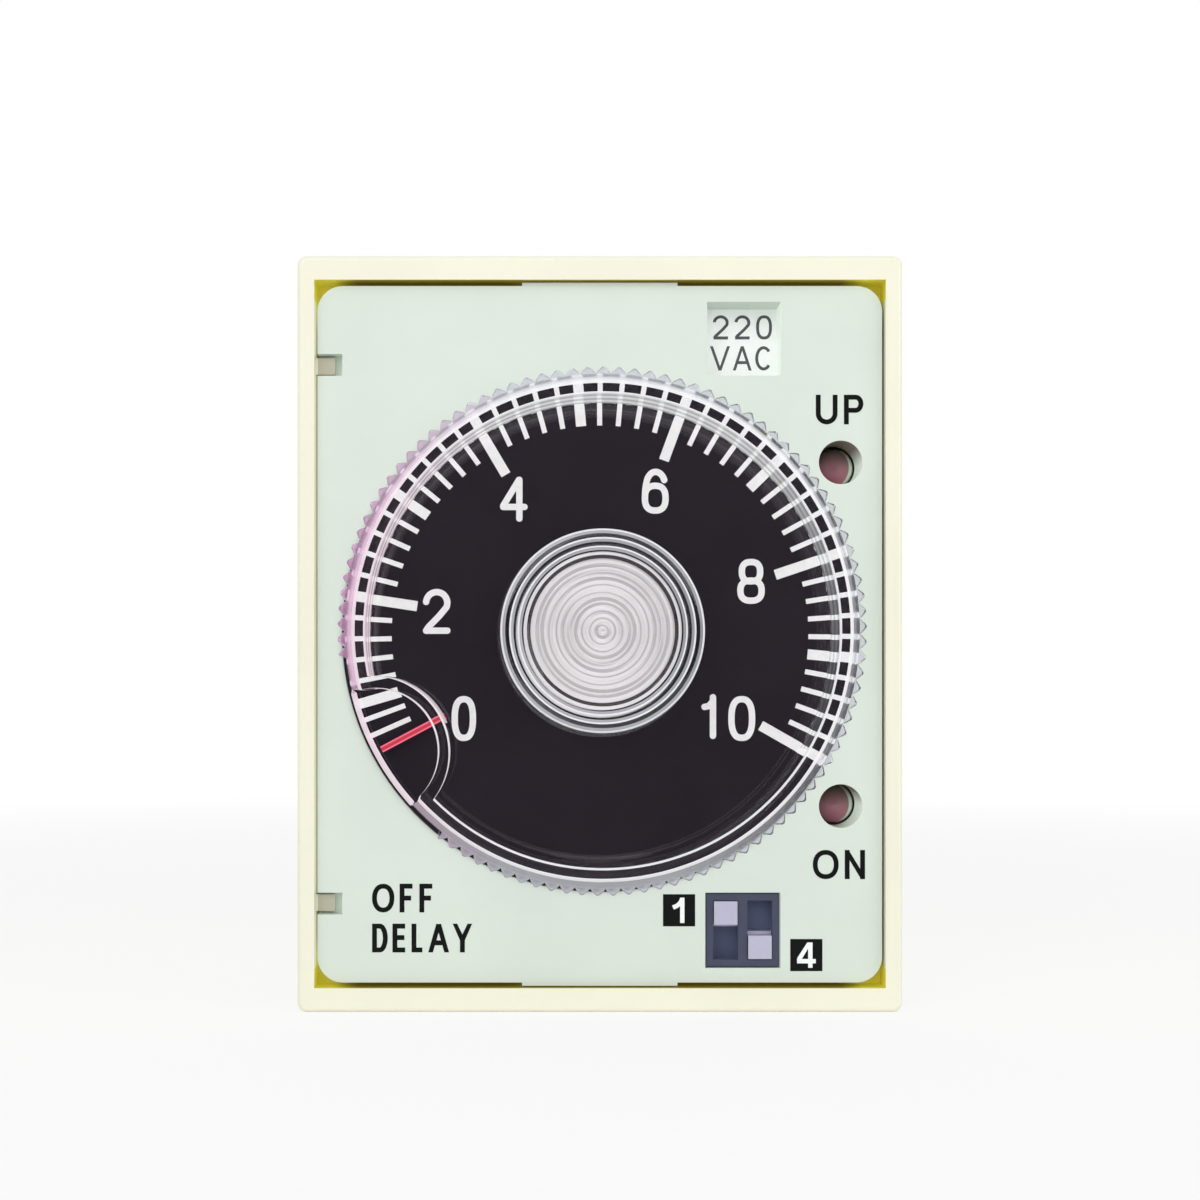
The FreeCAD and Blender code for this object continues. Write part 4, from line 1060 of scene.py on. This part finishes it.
def dress_solids(shades, knob):
    """Gives every solid of the frame its finish."""
    plug = moulded("plug_black", shades.plug, 0.5, share=0.8)
    pin = plated("pin_plating", shades.pin)
    slider = moulded("slider_lavender", shades.slider, 0.4)
    board = moulded("board_green", (0.02, 0.13, 0.06), 0.35, patch=3.0, share=0.7)
    chip = moulded("chip_black", (0.012, 0.012, 0.013), 0.5, share=0.8)
    pot = plated("pot_metal", (0.62, 0.61, 0.58), 0.35)
    # The lamps' darker top is painted shade and their mint flank is painted light
    lamp_tones = shades.lamp, shades.lamp_top_shade, shades.mint
    line = shades.pointer, shades.pointer_edge, knob.pointer, POINTER_WIDTH
    finishes = {
        "case": cream_case("cream_plastic", shades.cream, shades.seat, shades.gap, shades.nib),
        "front_panel": panel_plastic("mint_plastic", shades.mint, shades.lamp_top_shade),
        "scale_plate": moulded("dial_black", shades.dial, 0.6, share=0.9, shine=0.0),
        "pointer_line": pointer_ink("pointer_red", *line),
        "dial_shaft": spun("spun_white", shades.spun),
        # The card shines a little by itself: painted light against the shade of its window
        "rating_card": inked("card_white", shades.card, painted_glow=0.07),
        "led_up": lamp_lens("lamp_up_red", *lamp_tones, middle_of("led_up")),
        "led_on": lamp_lens("lamp_on_red", *lamp_tones, middle_of("led_on")),
        "range_switch_body": switch_plastic("switch_slate", shades.switch, shades.switch_well_light),
        "range_slider_left": slider,
        "range_slider_right": slider,
        "dial_knob": clear_moulding("knob_core", shades.clear),
        "pot_body": pot,
        "pot_cover": pot,
        "pot_rotor": moulded("pot_phenolic", (0.16, 0.07, 0.03), 0.6),
        "front_board": board,
        "timing_board": board,
        "power_board": board,
        "output_relay": moulded("relay_cover", (0.05, 0.08, 0.16), 0.4),
        "storage_capacitor": moulded("can_sleeve", (0.03, 0.04, 0.09), 0.35),
        "filter_capacitor": moulded("small_can_sleeve", (0.03, 0.04, 0.09), 0.35),
        "dropper_capacitor": moulded("film_block", (0.5, 0.33, 0.05), 0.4),
        "timing_chip": chip,
        "rectifier_diodes": chip,
        "resistors": moulded("resistor_tan", (0.52, 0.36, 0.2), 0.5),
        "plug_base": plug,
        "pin_leads": pin,
    }
    for name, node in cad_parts.items():
        node.data.materials.clear()
        node.data.materials.append(finishes.get(name, pin))


# Stage

# Soft lights: place and side in metres
LIGHTS = {
    "key": ((-0.32, -0.55, 0.32), 0.40),
    "fill": ((0.45, -0.42, 0.15), 0.45),
    "front": ((0.0, -0.75, 0.06), 0.60),
}
WHITE = (1, 1, 1, 1)


def seen_as_background(tree):
    """1 for rays that see the background: from the camera, a glossy face or through clear plastic."""
    path = add(tree, "LightPath", {})
    return reckon(tree, "MAXIMUM", *(path[f"Is {kind} Ray"] for kind in ("Camera", "Glossy", "Transmission")))


def put_sheet(name, centre, across, up, material):
    """A flat sheet from its centre and its two half sides."""
    middle, a, b = np.array(centre), np.array(across), np.array(up)
    mesh = bpy.data.meshes.new(name)
    mesh.from_pydata([middle - a - b, middle + a - b, middle + a + b, middle - a + b], [], [(0, 1, 2, 3)])
    mesh.materials.append(material)
    return put_object(name, mesh)


def matt_grey(name, drift, low, high, rough):
    """Matt paint between two greys, in drifts of this size."""
    material, tree, shader, coords = new_finish(name)
    greys = zip(NOISE_SPAN, ((low, low, low), (high, high, high)))
    tones = ramp(tree, noise(tree, coords, drift), *greys)
    fill(tree, shader, {"Base Color": tones, "Roughness": rough})
    return material, tree, shader, coords


def set_floor(stage):
    """Pale floor under the bezel's lower edge, which passes into the white background away from it."""
    material, tree, shader, coords = matt_grey("floor_white", drift=0.4, low=0.93, high=0.95, rough=0.9)
    reach = stage.floor_near, stage.floor_far
    fade = climb(tree, distance(tree, coords), *reach, stage.floor_white, manner="SMOOTHSTEP")
    share = reckon(tree, "MULTIPLY", fade, seen_as_background(tree))
    white = add(tree, "Emission", {"Strength": 1.0})["Emission"]
    mix_surface(tree, share, shader.outputs["BSDF"], white)
    half = stage.floor / 2
    floor = put_sheet("floor", (0, 0, CAD_LOW.z), (half, 0, 0), (0, half, 0), material)


def set_dark_card(stage):
    """Dark card that leans back from the floor before the dial, so that flat clear faces don't mirror white.

    It is seen in gloss and through clear plastic alone, and casts no shadow.
    """
    material = matt_grey("card_black", drift=0.1, low=0.01, high=0.02, rough=1.0)[0]
    foot = np.array([0, CAD_LOW.y - stage.dark_near, CAD_LOW.z + 0.2 * MM])
    head = np.array([0, CAD_LOW.y - stage.dark_far, stage.dark_top])
    card = put_sheet("dark_card", (foot + head) / 2, (stage.dark_side / 2, 0, 0), (head - foot) / 2, material)
    card.visible_camera = False
    card.visible_diffuse = False
    card.visible_shadow = False


def set_world(scene, stage):
    """White to the eye and in gloss, and a soft light from all round."""
    world = bpy.data.worlds.new("studio")
    world.use_nodes = True
    tree = world.node_tree
    light = tree.nodes["Background"]
    fill(tree, light, {"Color": WHITE, "Strength": stage.world})
    white = add(tree, "Background", {"Color": WHITE, "Strength": 1.0})["Background"]
    mix_surface(tree, seen_as_background(tree), light.outputs["Background"], white, "World Output")
    scene.world = world


def set_lamp(name, power):
    """Square soft light that faces the dial."""
    place, side = LIGHTS[name]
    light = bpy.data.lights.new(name + "_light", "AREA")
    light.size = side
    light.energy = power
    lamp = put_object(name + "_light", light)
    lamp.location = place
    aim = (CAD_LOW + CAD_HIGH) / 2 - lamp.location
    lamp.rotation_euler = aim.to_track_quat("-Z", "Y").to_euler()
    return lamp


def set_camera(scene, stage):
    """Camera square to the panel, with the frame shifted rather than the camera turned."""
    lens = bpy.data.cameras.new("camera")
    lens.lens = stage.lens
    lens.shift_x = stage.shift_across
    lens.shift_y = stage.shift_up
    lens.clip_start = 10 * MM
    camera = put_object("camera", lens)
    camera.location = (stage.camera_across, BEZEL_FACE - stage.camera_away, stage.camera_up)
    camera.rotation_euler = (math.pi / 2, 0, 0)
    scene.camera = camera


# Operators

class TIMER_OT_solids(bpy.types.Operator):
    """Give every solid of the frame its finish"""
    bl_idname = "timer.solids"
    bl_label = "Finish Solids"

    def execute(self, context):
        dress_solids(context.scene.timer_colours, context.scene.timer_knob)
        return {"FINISHED"}


class TIMER_OT_knob(bpy.types.Operator):
    """Turn the clear knob round the dial axis"""
    bl_idname = "timer.knob"
    bl_label = "Clear Knob"

    def execute(self, context):
        shades = context.scene.timer_colours
        edge, knurled = (shades.edge, shades.edge_pink), (shades.knurl, shades.knurl_pink)
        # Painted light on the dish's wall: a share that shines by itself and thins to one side, with turned
        # rings
        painted_wall_light = {"painted_glow": 0.34, "thins": (-25, 3, 15), "rings": 0.55}
        finishes = [
            clear_moulding("clear_acrylic", shades.clear),
            hazy_moulding("painted_highlight_edge", *edge, (0.15, 0.15), 0.3),
            hazy_moulding("hazy_slope", *knurled, (0.52, 0.9), 0.05),
            hazy_moulding("hazy_teeth", *knurled, (0.6, 0.75), 0.05, NO_BEND),
            hazy_moulding("painted_light_dish_wall", *edge, (0.25, 0.95), 0.05, NO_BEND, **painted_wall_light),
            clear_moulding("thin_wall", shades.clear, NO_BEND),
        ]
        piece = build_knob(context.scene.timer_knob, finishes)
        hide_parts("dial_knob")
        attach(piece, "dial")
        piece.visible_diffuse = False
        return {"FINISHED"}


class TIMER_OT_scale(bpy.types.Operator):
    """Print the ticks and numerals on the scale plate"""
    bl_idname = "timer.scale"
    bl_label = "Scale Print"

    def execute(self, context):
        sizes = context.scene.timer_print
        ink = inked("pale_print", context.scene.timer_colours.print_pale)
        stroke = sizes.numeral_stroke
        numerals = lettering("scale_numerals", NUMERALS, SCALE_FACE, sizes.proud, stroke, ink, rounded=True)
        for piece in (build_ticks(sizes, ink), numerals):
            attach(piece, "housing")
        return {"FINISHED"}


class TIMER_OT_panel_print(bpy.types.Operator):
    """Print the words of the panel, the range boxes and the rated voltage"""
    bl_idname = "timer.panel_print"
    bl_label = "Panel Print"

    def execute(self, context):
        sizes, shades = context.scene.timer_print, context.scene.timer_colours
        dark = inked("dark_print", shades.print_dark, 0.15)
        grey = inked("grey_print", shades.print_grey)
        pale = inked("digit_print", shades.print_pale)
        centres = np.array([[across, up] for _, across, up in RANGE_BOXES]) * MM
        squares = np.full((len(RANGE_BOXES), 2), sizes.range_box)
        level = np.zeros(len(RANGE_BOXES))
        tall = sizes.range_digit / MM
        digits = []
        for digit, across, up in RANGE_BOXES:
            wide = BOLD_WIDENING * tall * LETTER_WIDTHS[digit]
            digits.append((digit, across - wide / 2, up - tall / 2, wide, tall))
        front = PANEL_FACE - sizes.proud
        pieces = (
            lettering("panel_words", PANEL_WORDS, PANEL_FACE, sizes.proud, sizes.word_stroke, dark),
            lettering("rated_voltage", CARD_WORDS, CARD_FACE, sizes.proud, sizes.card_stroke, grey),
            raised_bars("range_boxes", centres, level, squares, PANEL_FACE, sizes.proud, dark),
            lettering("range_digits", digits, front, sizes.proud, sizes.digit_stroke, pale, BOLD_STROKES),
        )
        for piece in pieces:
            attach(piece, "housing")
        return {"FINISHED"}


class TIMER_OT_stage(bpy.types.Operator):
    """Set the floor, the light and the camera"""
    bl_idname = "timer.stage"
    bl_label = "Stage"

    def execute(self, context):
        stage = context.scene.timer_stage
        set_floor(stage)
        set_dark_card(stage)
        set_world(context.scene, stage)
        set_lamp("key", stage.key)
        set_lamp("fill", stage.fill)
        set_lamp("front", stage.front).visible_glossy = False
        set_camera(context.scene, stage)
        context.scene.view_settings.view_transform = "Standard"
        return {"FINISHED"}


class TIMER_PT_sidebar(bpy.types.Panel):
    """The timer's steps and settings"""
    bl_idname = "TIMER_PT_sidebar"
    bl_label = "Delay Timer"
    bl_space_type = "VIEW_3D"
    bl_region_type = "UI"
    bl_category = "Timer"

    def draw(self, context):
        for step in STEPS:
            self.layout.operator(step.bl_idname)
        for label, _ in SETTINGS:
            group = getattr(context.scene, label)
            box = self.layout.box()
            for prop in group.bl_rna.properties:
                if not prop.is_readonly and prop.identifier != "name":
                    box.prop(group, prop.identifier)


STEPS = (TIMER_OT_solids, TIMER_OT_knob, TIMER_OT_scale, TIMER_OT_panel_print, TIMER_OT_stage)
SETTINGS = (
    ("timer_knob", TimerKnobSizes),
    ("timer_print", TimerPrintSizes),
    ("timer_colours", TimerColours),
    ("timer_stage", TimerStageSizes),
)
CLASSES = tuple(group for _, group in SETTINGS) + STEPS + (TIMER_PT_sidebar,)


def register():
    """Adds the classes and the scene's settings."""
    for each in CLASSES:
        bpy.utils.register_class(each)
    for label, group in SETTINGS:
        setattr(bpy.types.Scene, label, PointerProperty(type=group))


def unregister():
    """Takes the settings and the classes away again."""
    for label, _ in SETTINGS:
        delattr(bpy.types.Scene, label)
    for each in reversed(CLASSES):
        bpy.utils.unregister_class(each)


def main():
    register()
    bpy.ops.timer.solids()
    bpy.ops.timer.knob()
    bpy.ops.timer.scale()
    bpy.ops.timer.panel_print()
    bpy.ops.timer.stage()


if __name__ == "__main__":
    main()
